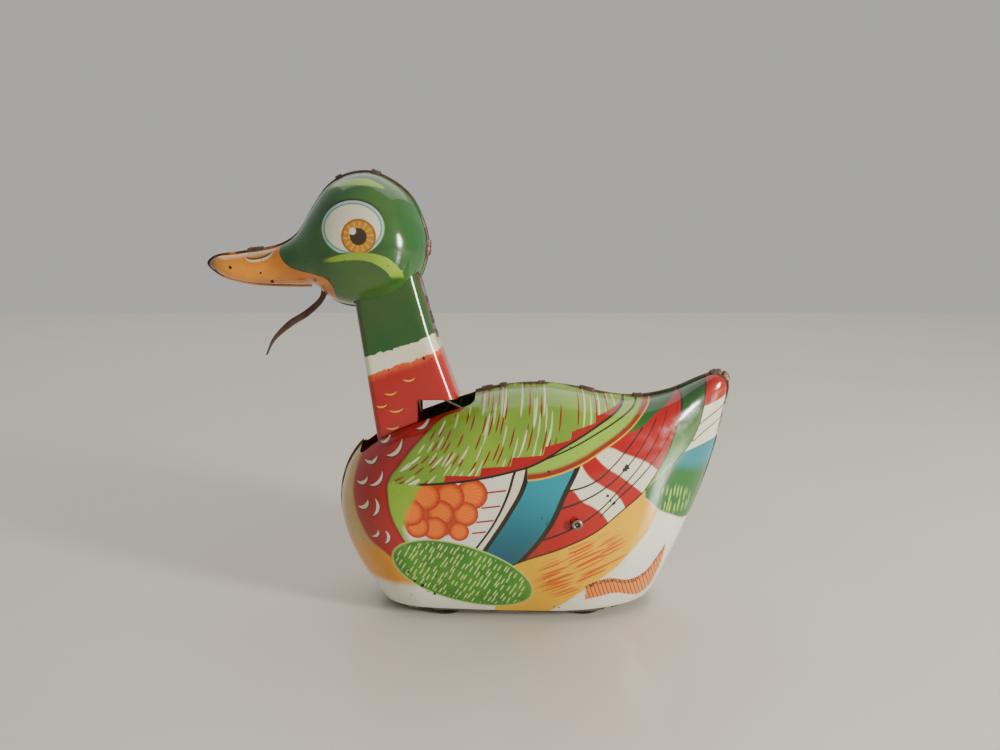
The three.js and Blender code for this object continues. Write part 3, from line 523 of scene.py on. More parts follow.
def key(name):
    """The winding key: a sleeve on the square of the arbor, and a bow with two holes."""
    half = catmull(KEY_BOW, False, 6)
    outline = [(p.x, p.y) for p in half] + [(-p.x, p.y) for p in reversed(half[:-1])]
    thick, radius = KEY["half_thick"], KEY_HOLES["radius"]
    rows = [[(ARBOR[0] + x, y, ARBOR[1] + z) for x, y in outline] for z in (-thick, thick)]
    plate = loft(name, rows, caps=True)
    holes = []
    for side in (-1, 1):
        middle = ARBOR[0] + side * KEY_HOLES["x"]
        ring = [(middle + radius * math.cos(a), KEY_HOLES["y"] + radius * math.sin(a)) for a in circle(32)]
        rows = [[(x, y, ARBOR[1] + z) for x, y in ring] for z in (-4, 4)]
        holes.append(loft("cutter", rows, caps=True, smooth=False))
    for hole in holes:
        cut(plate, hole)
    settle(plate, holes)
    modify(plate, "BEVEL", width=0.3 * MM, segments=3, limit_method="ANGLE", angle_limit=math.radians(50))
    settle(plate)
    low, high, bore, wall = KEY["low"], KEY["high"], KEY["bore"], KEY["sleeve"]
    floor_at = low + KEY["depth"] + 0.3
    profile = [(0.01, floor_at), (bore, floor_at), (bore, low), (wall - 0.2, low), (wall, low + 0.3),
               (wall, high - 0.4), (wall - 0.3, high), (0.01, high)]
    return join(plate, lathe("sleeve", profile, *ARBOR, 1, 40))


TAB_PROFILE = [(1.5, 1.45), (0.9, 1.3), (0.25, 1.05), (-0.25, 0.6), (-0.4, 0), (-0.25, -0.6), (0.25, -1.05),
               (0.9, -1.3), (1.5, -1.45)]
# Where folded tabs stand on the seams: form, nearest point, length, and the body they are on.
SEAM_TABS = [
    (BODY_FORM, (-9.6, 76.8), 3.4, "body"), (BODY_FORM, (-4.6, 77.6), 2.5, "body"),
    (BODY_FORM, (26, 75.2), 4.5, "body"), (BODY_FORM, (43, 73.9), 3, "body"),
    (BODY_FORM, (70.5, 82), 3.5, "body"), (BODY_FORM, (73.4, 79), 3, "body"), (BODY_FORM, (9, 78), 2, "body"),
    (HEAD_FORM, (-50, 150.2), 3, "neck"), (HEAD_FORM, (-31.3, 127), 5, "neck"),
    (HEAD_FORM, (-93, 123.9), 5, "neck"), (HEAD_FORM, (-62, 147.4), 2, "neck"),
]
NECK_TABS = [(94, 96.5), (99, 103), (106, 108)]


def seam_tab(name, form, place, length):
    """A small tab folded over the seam, following the outline."""
    outline, spot = form.outline, Vector(place)
    count = len(outline)
    middle = min(range(count), key=lambda i: (outline[i] - spot).length)
    steps, reach, first = [middle], 0.0, middle
    while reach < length:
        following = steps[-1] + 1
        reach += (outline[following % count] - outline[steps[-1] % count]).length
        steps.append(following)
    rows = []
    for k, i in enumerate(steps):
        here = outline[i % count]
        way = (outline[(i + 1) % count] - outline[(i - 1) % count]).normalized()
        outward = Vector((-way.y, way.x))
        if form.way_out(here).dot(outward) < 0:
            outward = -outward
        lift = 0.25 * noise.noise((i * 0.35, first * 0.7, 0)) + 0.1
        rows.append([(here.x - outward.x * (depth - lift), y + 0.15 * noise.noise((i * 0.5, depth, first)),
                      here.y - outward.y * (depth - lift)) for depth, y in TAB_PROFILE])
    points = [p for row in rows for p in row]
    fold = mesh_object(name, points, grid_faces(len(rows), len(TAB_PROFILE), closed=False))
    modify(fold, "SOLIDIFY", thickness=0.28 * MM, offset=0)
    modify(fold, "BEVEL", width=0.07 * MM, segments=2, limit_method="ANGLE")
    return settle(fold)


def neck_tab(name, low, high):
    """A tab of the neck's rear seam, standing a little off its corner."""
    rows = []
    for k in range(7):
        z = low + (high - low) * k / 6
        off = 0.35 + 0.25 * noise.noise((z * 0.8, low, 1))
        rows.append([(neck_rear(z) + off - 0.08 * y * y, y, z) for y in (-3.2, -2.2, -1.1, 0, 1.1, 2.2, 3.2)])
    fold = mesh_object(name, [p for row in rows for p in row], grid_faces(7, 7, closed=False))
    modify(fold, "SOLIDIFY", thickness=0.35 * MM, offset=0)
    modify(fold, "BEVEL", width=0.08 * MM, segments=2, limit_method="ANGLE")
    return settle(fold)


# ---- Shader building ----

class Field:
    """A number that varies over a surface, built from shader nodes."""

    def __init__(self, paint, socket):
        self.paint, self.socket = paint, socket

    def math(self, operation, *others):
        return self.paint.math(operation, self, *others)

    def __add__(self, other):
        return self.math("ADD", other)

    def __sub__(self, other):
        return self.math("SUBTRACT", other)

    def __mul__(self, other):
        return self.math("MULTIPLY", other)

    def inverted(self):
        return self.paint.math("SUBTRACT", 1, self)


class Paint:
    """Builds one material, painting one layer over another."""

    def __init__(self, name, base):
        self.material = bpy.data.materials.new(name)
        self.material.use_nodes = True
        self.tree = self.material.node_tree
        self.tree.nodes.clear()
        self.output = self.tree.nodes.new("ShaderNodeOutputMaterial")
        self.shader = self.tree.nodes.new("ShaderNodeBsdfPrincipled")
        self.tree.links.new(self.shader.outputs["BSDF"], self.output.inputs["Surface"])
        coordinates = self.tree.nodes.new("ShaderNodeTexCoord")
        scaled = self.vector("SCALE", coordinates.outputs["Object"])
        scaled.inputs["Scale"].default_value = 1 / MM
        self.point = scaled.outputs[0]
        split = self.tree.nodes.new("ShaderNodeSeparateXYZ")
        self.tree.links.new(self.point, split.inputs[0])
        self.x, self.y, self.z = (Field(self, s) for s in split.outputs)
        flat = self.tree.nodes.new("ShaderNodeCombineXYZ")
        self.tree.links.new(self.x.socket, flat.inputs[0])
        self.tree.links.new(self.z.socket, flat.inputs[1])
        self.flat = flat.outputs[0]
        self.color = base

    def connect(self, value, socket):
        if isinstance(value, Field):
            self.tree.links.new(value.socket, socket)
        elif isinstance(value, bpy.types.NodeSocket):
            self.tree.links.new(value, socket)
        else:
            socket.default_value = value

    def math(self, operation, *values):
        node = self.tree.nodes.new("ShaderNodeMath")
        node.operation = operation
        for value, socket in zip(values, node.inputs):
            self.connect(value, socket)
        return Field(self, node.outputs[0])

    def vector(self, operation, *values):
        node = self.tree.nodes.new("ShaderNodeVectorMath")
        node.operation = operation
        for value, socket in zip(values, node.inputs):
            self.connect(value, socket)
        return node

    def ramp(self, value, low, high, out_low=0.0, out_high=1.0):
        """Rises smoothly from out_low at low to out_high at high."""
        node = self.tree.nodes.new("ShaderNodeMapRange")
        node.interpolation_type = "SMOOTHSTEP"
        self.connect(value, node.inputs["Value"])
        for name, number in (("From Min", low), ("From Max", high), ("To Min", out_low), ("To Max", out_high)):
            node.inputs[name].default_value = number
        return Field(self, node.outputs[0])

    def line(self, points, across="z", smooth=True):
        """The edge z = f(x) through the points, or x = f(z) when across is "x", as signed distance past it."""
        pairs = sorted((p if across == "z" else (p[1], p[0])) for p in points)
        source, target = (self.x, self.z) if across == "z" else (self.z, self.x)
        low, high = pairs[0][0], pairs[-1][0]
        values = [v for _, v in pairs]
        bottom, span = min(values) - 1, max(values) - min(values) + 2
        node = self.tree.nodes.new("ShaderNodeFloatCurve")
        curve = node.mapping.curves[0]
        spots = [((p - low) / (high - low), (v - bottom) / span) for p, v in pairs]
        while len(curve.points) < len(spots):
            curve.points.new(0.5, 0.5)
        for point, spot in zip(curve.points, spots):
            point.location = spot
            point.handle_type = "AUTO" if smooth else "VECTOR"
        node.mapping.update()
        place = self.math("MULTIPLY_ADD", source, 1 / (high - low), -low / (high - low))
        clamped = self.math("MINIMUM", self.math("MAXIMUM", place, 0), 1)
        self.connect(clamped, node.inputs["Value"])
        edge = self.math("MULTIPLY_ADD", Field(self, node.outputs[0]), span, bottom)
        return target - edge

    def past(self, signed, soft=0.15):
        """1 where a signed distance is above 0."""
        return self.ramp(signed, -soft, soft)

    def nearer(self, reach, radius, soft=0.12):
        """1 where a reach is less than a radius."""
        return self.ramp(reach, radius - soft, radius + soft, 1, 0)

    def within(self, signed, half, soft=0.12):
        """1 where a signed distance is nearer 0 than half."""
        return self.nearer(signed.math("ABSOLUTE"), half, soft)

    def distance(self, x, z):
        node = self.vector("DISTANCE", self.flat, (x, z, 0))
        return Field(self, node.outputs["Value"])

    def disc(self, x, z, radius):
        return self.nearer(self.distance(x, z), radius)

    def away_from(self, x, z):
        """The way from a point, as a vector and as its two parts."""
        away = self.vector("SUBTRACT", self.flat, (x, z, 0)).outputs[0]
        split = self.tree.nodes.new("ShaderNodeSeparateXYZ")
        self.connect(away, split.inputs[0])
        return away, Field(self, split.outputs[0]), Field(self, split.outputs[1])

    def angle_about(self, x, z):
        _, along, up = self.away_from(x, z)
        return self.math("ARCTAN2", up, along)

    def local(self, x, z, half_long, half_wide, tilt):
        """Position in an ellipse's own frame, 1 at its ends. Tilt is up from +X, in degrees."""
        node = self.tree.nodes.new("ShaderNodeMapping")
        node.vector_type = "TEXTURE"
        self.connect(self.flat, node.inputs["Vector"])
        node.inputs["Location"].default_value = (x, z, 0)
        node.inputs["Rotation"].default_value = (0, 0, math.radians(tilt))
        node.inputs["Scale"].default_value = (half_long, half_wide, 1)
        return node.outputs[0]

    def ellipse(self, x, z, half_long, half_wide, tilt, soft=0.02):
        size = self.vector("LENGTH", self.local(x, z, half_long, half_wide, tilt))
        return self.nearer(Field(self, size.outputs["Value"]), 1, soft)

    def crescent(self, x, z, chord, facing, thick):
        """A tapered arc of the given chord whose middle is at x, z and whose back faces a way in degrees."""
        radius = chord * 0.56
        wider = radius * 1.7
        angle = math.radians(facing)
        back = Vector((math.cos(angle), math.sin(angle)))
        centre = Vector((x, z)) - back * radius
        hollow = centre - back * (thick + wider - radius)
        outer = self.disc(*centre, radius)
        inner = self.disc(*hollow, wider)
        return outer * inner.inverted()

    def texture(self, kind, vector, **inputs):
        node = self.tree.nodes.new(kind)
        self.connect(vector, node.inputs["Vector"])
        for name, value in inputs.items():
            node.inputs[name].default_value = value
        return node

    def noise(self, scale, detail=2.0, vector=None):
        """Smooth noise about 0.5, with a scale in waves per millimetre."""
        place = vector or self.point
        node = self.texture("ShaderNodeTexNoise", place, Scale=scale, Detail=detail, Roughness=0.5)
        return Field(self, node.outputs["Fac"])

    def strokes(self, vector, half_x, half_y):
        """One brush mark in each cell, with its half sizes in cells, and a random number for each cell."""
        node = self.texture("ShaderNodeTexVoronoi", vector, Scale=1.0, Randomness=0.6)
        node.voronoi_dimensions = "2D"
        away = self.vector("SUBTRACT", vector, node.outputs["Position"]).outputs[0]
        away = self.vector("MULTIPLY", away, (1 / half_x, 1 / half_y, 0)).outputs[0]
        reach = Field(self, self.vector("LENGTH", away).outputs["Value"])
        shape = self.ramp(reach, 0.8, 1, 1, 0)
        split = self.tree.nodes.new("ShaderNodeSeparateColor")
        self.connect(node.outputs["Color"], split.inputs[0])
        return shape, Field(self, split.outputs[0])

    def lay(self, mask, color):
        """Paints a colour, or a varied colour, through a mask."""
        self.color = self.mixed(mask, self.color, color)

    def mixed(self, share, first, second):
        """A colour between two, as a socket."""
        node = self.tree.nodes.new("ShaderNodeMix")
        node.data_type = "RGBA"
        self.connect(share, node.inputs["Factor"])
        for color, end in ((first, "A"), (second, "B")):
            self.connect(color if isinstance(color, bpy.types.NodeSocket) else rgba(color), node.inputs[end])
        return node.outputs["Result"]

    def bumps(self, height, distance):
        node = self.tree.nodes.new("ShaderNodeBump")
        node.inputs["Distance"].default_value = distance * MM
        self.connect(height, node.inputs["Height"])
        self.connect(node.outputs[0], self.shader.inputs["Normal"])

    def done(self, roughness, metallic=0.0, coat=0.0):
        self.connect(self.color, self.shader.inputs["Base Color"])
        self.connect(roughness, self.shader.inputs["Roughness"])
        self.connect(metallic, self.shader.inputs["Metallic"])
        self.connect(coat, self.shader.inputs["Coat Weight"])
        self.shader.inputs["Coat Roughness"].default_value = 0.07
        return self.material


def rgba(color):
    """Linear colour from an sRGB triple of 0 to 255."""
    linear = [((c / 255 + 0.055) / 1.055) ** 2.4 if c > 10 else c / 255 / 12.92 for c in color]
    return (*linear, 1.0)


# ---- Printing inks ----

INK = {
    "red": (168, 10, 16), "dark_red": (120, 12, 20), "deep_orange": (212, 70, 16), "yellow": (230, 174, 0),
    "cream": (226, 222, 194), "white": (230, 230, 214), "light_green": (134, 176, 44),
    "pale_green": (176, 204, 108), "mid_green": (62, 134, 38), "dark_green": (16, 74, 32),
    "deep_teal": (0, 84, 104), "black": (20, 22, 18), "rust": (82, 46, 26), "soot": (32, 26, 22),
    "red_brown": (140, 42, 26), "head_green": (12, 82, 34), "bill": (236, 150, 34), "iris": (196, 128, 16),
    "eye_blue": (60, 146, 156),
    "mark_shadow": (70, 30, 34), "wing_shade": (116, 158, 44), "scale_ground": (190, 62, 6),
    "scale_orange": (244, 116, 0), "scale_rim": (176, 40, 2), "teal": (6, 142, 160),
    "band_green": (146, 186, 62), "brush_green": (38, 104, 44), "tail_teal": (30, 128, 140),
    "brush_mark": (150, 190, 84), "streak": (206, 78, 0), "leg": (232, 128, 56), "leg_rung": (96, 44, 24),
    "leg_speckle": (70, 44, 24), "patch_dark": (50, 122, 36), "patch_light": (70, 138, 36),
    "patch_mark": (190, 212, 130), "bare_cream": (196, 160, 96), "low_yellow": (226, 150, 16),
    "grime": (116, 90, 44), "breast_tint": (168, 36, 44), "lid_shade": (20, 34, 20),
    "eye_rim": (168, 206, 190), "iris_rim": (150, 96, 24), "iris_ray": (226, 180, 84),
    "pupil": (28, 22, 16), "bill_outline": (22, 50, 24), "bill_dark": (216, 124, 26),
    "nostril_light": (230, 216, 172), "nostril_line": (84, 60, 30), "nostril": (204, 132, 44),
    "bill_tip": (104, 78, 54), "bill_low_darkening": (120, 78, 42), "head_tint": (30, 108, 48),
    "neck_tint": (170, 36, 38), "neck_orange": (224, 100, 40), "neck_mark_shadow": (90, 26, 24),
    "neck_mark": (240, 176, 60),
}


# ---- The body's print ----

BREAST_EDGE = [(-52, 60), (-54, 57), (-56, 51), (-57, 45), (-56, 38), (-54, 33), (-51, 28), (-46, 24),
               (-41, 19.5), (-37, 13), (-29, 6)]
WING_FRONT = [(-15, 75), (-19, 71), (-26, 68), (-34, 61), (-40, 54), (-44, 48), (-44, 44), (-43, 38),
              (-41, 33), (-38, 28)]
SERRATION = [(-36, 47.5), (-25.5, 49), (-25, 51.4), (-13.6, 51.6), (-13, 54.2), (-3.4, 55), (-3, 57.6),
             (7.2, 58.4), (7.8, 61), (16.4, 63), (16.6, 65.4), (25, 67.8), (25.4, 69.6), (31, 71.4),
             (37, 73.4)]
WING_LINE = [(-36, 48), (-26, 48.8), (-14, 50.6), (-3, 53.2), (3, 55), (15, 61.2), (25, 66.6), (36, 73),
             (42, 80)]
SCALES_LEFT = [(-34, 48.5), (-37, 42.5), (-39.5, 37), (-40, 33), (-38, 28)]
SCALE_RAYS = 34
SCALE_GROUND = (-28.2, 40.0, 13.4, 9.6, 6)
SCALES = [
    (-16.2, 45.6, 5.2, (-21, 46)), (-18.4, 38.8, 4.3, (-23, 40)), (-20.6, 32.6, 3.4, (-23, 33)),
    (-23.6, 44.4, 5.0, (-27, 47)), (-26.6, 38.8, 4.6, (-30, 41)), (-28.6, 33.4, 4.2, (-31, 35)),
    (-31.6, 44.4, 5.0, (-34, 47)), (-34.4, 33.8, 4.0, (-37, 35)), (-36.6, 38.6, 4.6, (-39, 41)),
]
STRIP_LEFT = [(-1, 55), (-2, 53.5), (-4.2, 46.4), (-8.4, 36.8), (-14.1, 27.9), (-17, 24)]
BAR_ONE = [(2.6, 57), (2.1, 54), (0.8, 48.7), (-4, 39.2), (-11.3, 27.3), (-14, 23)]
BAR_TWO = [(19.4, 57), (18.4, 54.1), (14.5, 46), (9.4, 34.8), (-0.3, 22), (-4, 18)]
DASHES = [(-8.4, 46.6, 3.4), (-10, 41.4, 3.1), (-12, 36.4, 2.9), (-14, 32.4, 2.3)]
FEATHER_LOW = [(-6, 19), (-0.3, 22), (14, 27.2), (24.9, 32), (33.3, 38.2), (41, 44), (46, 49)]
FEATHER_RIGHT = [(41, 44), (46, 50.5), (50, 57), (53, 64.5), (55, 71), (55.4, 76)]
FEATHER_LEFT = [(34, 63.8), (41, 66), (45, 69), (49, 71.4), (55, 76)]
BAND_LOW = [(2, 50.2), (9, 51.2), (19, 54.6), (26, 58.4), (35, 64), (41, 69), (46, 74), (54, 88)]
BAND_MIDDLE = [(3, 55.6), (15, 59.8), (26, 65), (32, 68), (40, 72.4), (46, 79)]
FAN_LINES = [
    [(41, 66), (36, 60), (31, 54.5), (24, 49), (15, 46.6)],
    [(46, 68.5), (42, 62), (36, 54), (28, 47), (19, 42.6), (11, 40.4)],
    [(50, 71), (47, 64), (42, 56), (34, 47), (22, 36.6), (7, 30)],
    [(54, 74), (52, 66), (46, 56), (39, 48.5), (32, 42.6), (26, 37)],
]
S_UPPER_TOP = [(24, 59.5), (29, 60), (34, 57.8), (38, 56.2), (43, 53.6), (47, 50)]
S_UPPER_LOW = [(24, 58), (28, 53.8), (33, 50.4), (37, 47.2), (42, 43)]
S_LOWER_TOP = [(19, 57), (22, 51.4), (27, 47.4), (32, 44), (35, 39)]
S_LOWER_LOW = [(13, 48), (17, 46.6), (20, 43), (24, 40.6), (27, 38), (30, 33)]
GREEN_RIGHT = [(41, 44), (46, 47.6), (52, 52.4), (57, 57), (61, 63), (63, 69), (64, 76), (65, 82)]
LIGHT_STRIPE = [(43, 44.6), (49, 49.6), (56, 54.4), (61, 61), (63, 68)]
TIP_LOW = [(60, 69.6), (63, 70.6), (67, 71.8), (74, 75)]
WHITE_LOW = [(50, 53.4), (57, 56), (62, 57.2), (68, 58.6), (74, 60)]
WHITE_LINES = [[(60, 63.6), (63, 65.4), (72, 70.6)], [(60, 59.4), (63, 61.4), (72, 66.6)]]
TEAL_LOW = [(46, 52.6), (53, 51.8), (59, 50), (70, 48)]
BRUSH_LOW = [(40, 43), (43, 41), (47, 37), (53, 33.4), (58, 30.8), (63, 30), (68, 33)]
YELLOW_BOUND = [(8, 0), (12, 3), (21, 10.4), (27, 14.4), (32, 18), (36, 22), (41, 27), (44, 31), (47, 38)]
LEG_TOP = [(20, 11.4), (24, 13.4), (30, 14.4), (38, 12.6), (43, 14), (47, 18), (51, 23.4)]
LEG_LOW = [(20, 6.2), (26, 7.2), (33, 7.8), (38, 5.8), (42, 4.6), (45, 5.8), (48, 10.4), (50, 16), (51, 23)]
STREAKS = (20.5, 19.5, 15.5, 8.5, 26)
PATCH = (-19.6, 16.6, 24.2, 10.6, -17)
BREAST_MARKS = [
    (-32.1, 65.2, 6.2, -45, 0.9), (-45.5, 59.6, 4.6, -52, 0.8), (-41.2, 57.2, 7.4, -45, 1.1),
    (-50.2, 53.0, 4.8, -68, 1.0), (-52.9, 46.5, 4.4, -62, 1.0), (-47.1, 47.8, 6.8, -42, 1.0),
    (-52.0, 38.9, 4.4, -52, 1.2), (-47.2, 39.4, 5.8, -8, 1.1), (-48.0, 29.6, 3.2, -42, 0.9),
    (-43.8, 29.4, 4.4, -4, 1.0),
]
# Brush marks on the wing: centre of their arcs, width of a cell, cells for each radian, half length and half
# width of a mark in cells, ink, and the share of cells that have one.
WING_STROKES = [
    ((-55, 79), 2.0, 6.2, 0.42, 0.17, (138, 40, 20), 0.75),
    ((-56.5, 77), 2.1, 6.0, 0.42, 0.16, (206, 218, 150), 0.45),
    ((-54, 80.5), 2.6, 5.2, 0.42, 0.14, (228, 228, 190), 0.4),
]
CHIPS = [(35, 53, 1.4), (16.6, 34.0, 0.9), (29.5, 42.6, 0.8), (31, 41.4, 0.7), (28.6, 44.2, 0.6),
         (8.6, 53.4, 0.7), (-36, 13.6, 0.6), (-33.4, 11.8, 0.8), (-31.6, 9.4, 0.5), (-29.4, 8.4, 0.7),
         (-38, 17, 0.5)]
SEAM_RUST = [(-16, 75.4, 9), (26, 75.2, 5), (43, 74, 4.5), (71, 80.5, 5.5), (-58, 54, 7)]


def breast_marks(paint):
    for x, z, chord, facing, thick in BREAST_MARKS:
        paint.lay(paint.crescent(x + 0.25, z - 0.25, chord + 0.5, facing, thick + 0.25), INK["mark_shadow"])
        paint.lay(paint.crescent(x, z, chord, facing, thick), INK["cream"])


def polar(paint, centre, across, along):
    """Coordinates round a centre, so that marks laid in them follow circles."""
    away, right, up = paint.away_from(*centre)
    radius = Field(paint, paint.vector("LENGTH", away).outputs["Value"])
    angle = paint.math("ARCTAN2", up, right)
    made = paint.tree.nodes.new("ShaderNodeCombineXYZ")
    paint.connect(radius * (1 / across), made.inputs[0])
    paint.connect(angle * along, made.inputs[1])
    return made.outputs[0]


def wing(paint):
    front = paint.past(paint.line(WING_FRONT, "x"), 0.6)
    paint.lay(paint.past(paint.line(WING_FRONT, "x") + 1.0, 0.9), INK["dark_red"])
    shade = paint.ramp(paint.noise(0.05), 0.35, 0.65)
    paint.lay(front, paint.mixed(shade, INK["light_green"], INK["wing_shade"]))
    inside = paint.past(paint.line(WING_FRONT, "x") - 1.5, 0.5)
    for centre, across, along, half_long, half_wide, ink, share in WING_STROKES:
        marks, chance = paint.strokes(polar(paint, centre, across, along), half_wide, half_long)
        paint.lay(marks * chance.math("LESS_THAN", share) * inside, ink)
    saw = paint.line(SERRATION, "z", smooth=False)
    right = paint.ramp(paint.x, -35, -34.6)
    paint.lay(paint.past(saw * -1, 0.1) * right, INK["red"])


def under_wing(paint):
    below = paint.past(paint.line(WING_LINE) * -1, 0.1)
    left = paint.past(paint.line(SCALES_LEFT, "x"), 0.5)
    paint.lay(below * left, INK["white"])
    ground = paint.ellipse(*SCALE_GROUND, 0.06) * below * paint.past(paint.line(SCALES_LEFT, "x") - 0.3, 1.2)
    paint.lay(ground, INK["scale_ground"])
    for x, z, radius, origin in SCALES:
        scale_disc(paint, x, z, radius, origin)
    fade = paint.ramp(paint.line(SCALES_LEFT, "x") + paint.noise(0.5, 2.0) * 1.6, 0.8, 3.4, 1, 0)
    paint.lay(fade * below * paint.past(paint.line(WING_FRONT, "x"), 0.4), INK["light_green"])


def scale_disc(paint, x, z, radius, origin):
    """One overlapping scale: orange with a red rim and fine rays from its root."""
    reach = paint.distance(x, z)
    shape = paint.nearer(reach, radius)
    inside = paint.past(paint.line(WING_LINE) * -1, 0.1)
    rays = paint.ramp(paint.math("SINE", paint.angle_about(*origin) * SCALE_RAYS), 0.55, 0.95, 0, 0.55)
    rim = paint.ramp(reach, radius * 0.5, radius * 0.97)
    ink = paint.mixed(rim, INK["scale_orange"], INK["scale_rim"])
    paint.lay(shape * inside, paint.mixed(rays, ink, INK["deep_orange"]))


def bars(paint):
    below = paint.past(paint.line(WING_LINE) * -1, 0.1)
    for x, z, half in DASHES:
        along = paint.within(paint.x - x, half, 0.2)
        tilt = paint.z - z - (paint.x - x) * 0.14
        paint.lay(paint.within(tilt, 0.32) * along, INK["red"])
    strip_side = paint.line(STRIP_LEFT, "x")
    paint.lay(paint.past(strip_side) * below, INK["cream"])
    paint.lay(paint.within(strip_side, 0.45) * below, INK["black"])
    first = paint.line(BAR_ONE, "x")
    teal = paint.ramp(paint.z, 20, 56)
    paint.lay(paint.past(first) * below, paint.mixed(teal, INK["deep_teal"], INK["teal"]))
    paint.lay(paint.within(first, 0.85) * below, INK["black"])
    second = paint.line(BAR_TWO, "x")
    paint.lay(paint.past(second) * below, INK["red"])
    paint.lay(paint.within(second, 0.95) * below, INK["black"])


def tail_feathers(paint):
    inside = paint.past(paint.line(BAR_TWO, "x") - 0.9)
    for top, low in ((S_UPPER_TOP, S_UPPER_LOW), (S_LOWER_TOP, S_LOWER_LOW)):
        band = paint.past(paint.line(top) * -1, 0.5) * paint.past(paint.line(low), 0.5)
        ends = paint.ramp(paint.x, top[0][0] - 5, top[0][0] - 3)
        paint.lay(band * ends * inside, INK["cream"])
    for points in FAN_LINES:
        steep = paint.line(points)
        start = paint.ramp(paint.x, points[-1][0], points[-1][0] + 0.4)
        end = paint.ramp(paint.x, points[0][0] - 0.3, points[0][0], 1, 0)
        paint.lay(paint.within(steep, 0.34, 0.2) * start * end * inside, INK["black"])


def upper_band(paint):
    """The long pale-green feather between the wing and the tail feathers."""
    below = paint.past(paint.line(WING_LINE) * -1, 0.1)
    low = paint.line(BAND_LOW)
    start = paint.ramp(paint.x, 1.8, 2.2)
    inside = below * start
    paint.lay(paint.past(low) * inside, INK["yellow"])
    paint.lay(paint.past(low - 0.55) * inside, INK["red_brown"])
    paint.lay(paint.past(low - 2.4, 0.7) * inside, INK["band_green"])
    paint.lay(paint.within(paint.line(BAND_MIDDLE), 0.28) * inside, INK["black"])
    paint.lay(paint.within(paint.line(WING_LINE), 0.38) * paint.ramp(paint.x, -35, -33), INK["black"])


def tail_green(paint):
    right_of_feather = paint.past(paint.line(FEATHER_RIGHT, "x"), 0.2)
    under_band = paint.past(paint.line(BAND_LOW) * -1, 0.2)
    above_feather = paint.past(paint.line(FEATHER_LEFT), 0.2) * under_band * paint.ramp(paint.x, 35, 36)
    high = paint.ramp(paint.z, 43.6, 44.2)
    green = paint.mixed(paint.ramp(paint.z, 50, 76), INK["mid_green"], INK["dark_green"])
    paint.lay(right_of_feather.math("MAXIMUM", above_feather) * high, green)
    stripe = paint.line(LIGHT_STRIPE)
    light = paint.within(stripe, 1.5, 1.1) * paint.ramp(paint.z, 64, 70, 1, 0)
    paint.lay(light * right_of_feather, INK["light_green"])
    feather_edge = paint.within(paint.line(FEATHER_RIGHT, "x"), 0.3) * high
    paint.lay(feather_edge, INK["black"])


def tail_tip(paint):
    side = paint.past(paint.line(GREEN_RIGHT, "x"), 0.15)
    paint.lay(side * paint.past(paint.line(TIP_LOW)), INK["red"])
    white = side * paint.past(paint.line(TIP_LOW) * -1) * paint.past(paint.line(WHITE_LOW), 0.2)
    paint.lay(white, INK["cream"])
    for points in WHITE_LINES:
        paint.lay(paint.within(paint.line(points), 0.22) * white, INK["black"])
    low = side * paint.past(paint.line(WHITE_LOW) * -1, 0.2) * paint.past(paint.line(BRUSH_LOW), 0.7)
    fade = paint.past(paint.line(TEAL_LOW), 3.0)
    paint.lay(low, paint.mixed(fade, INK["brush_green"], INK["tail_teal"]))
    marks, _ = paint.strokes(turned_cells(paint, 80, 1.5, 7), 0.46, 0.26)
    zone = paint.ellipse(53, 39.5, 7, 4.6, -22, 0.3)
    paint.lay(marks * zone * low, INK["brush_mark"])
    paint.lay(paint.within(paint.line(GREEN_RIGHT, "x"), 0.22) * paint.ramp(paint.z, 43, 44), INK["black"])


def turned_cells(paint, tilt, across, along):
    """Coordinates whose cells are along by across millimetres, their long way tilted up from +X in degrees."""
    return paint.local(0, 0, along, across, tilt)


def belly(paint):
    under = paint.past(paint.line(FEATHER_LOW) * -1, 0.15)
    body = under * paint.ramp(paint.x, 41.6, 42, 1, 0)
    tail = paint.ramp(paint.x, 40.2, 40.6) * paint.past(paint.line(BRUSH_LOW) * -1, 0.7)
    after_patch = paint.ramp(paint.x, -9, -8.4)
    below = body.math("MAXIMUM", tail) * after_patch
    paint.lay(below, INK["white"])
    yellow = paint.past(paint.line(YELLOW_BOUND), 0.6) * below * paint.ramp(paint.x, 46.4, 47.2, 1, 0)
    front = paint.ramp(paint.x, 10, 11, 1, 0) * below
    paint.lay(yellow.math("MAXIMUM", front), INK["yellow"])
    zone = paint.ellipse(*STREAKS, 0.3) * below
    for tilt, across, share in ((24, 1.2, 0.7), (20, 1.7, 0.6)):
        marks, chance = paint.strokes(turned_cells(paint, tilt, across, 13), 0.48, 0.26)
        paint.lay(marks * chance.math("LESS_THAN", share) * zone, INK["streak"])
    outline = paint.within(paint.line(FEATHER_LOW), 0.3) * paint.ramp(paint.x, 40.5, 41.5, 1, 0)
    paint.lay(outline * after_patch, INK["black"])


def leg(paint):
    top, low = paint.line(LEG_TOP), paint.line(LEG_LOW)
    ends = paint.ramp(paint.x, 21.5, 22.5) * paint.ramp(paint.x, 50.6, 51, 1, 0)
    shape = paint.past(top * -1, 0.2) * paint.past(low, 0.2) * ends
    paint.lay(shape, INK["leg"])
    rungs = paint.math("SINE", (paint.x + paint.z * 0.35) * 4.6)
    paint.lay(paint.ramp(rungs, 0.55, 0.95) * shape, INK["leg_rung"])
    speckle = paint.ramp(paint.noise(1.7, 1.0), 0.42, 0.55)
    paint.lay(paint.within(top + 0.9, 0.75) * speckle * ends, INK["leg_speckle"])


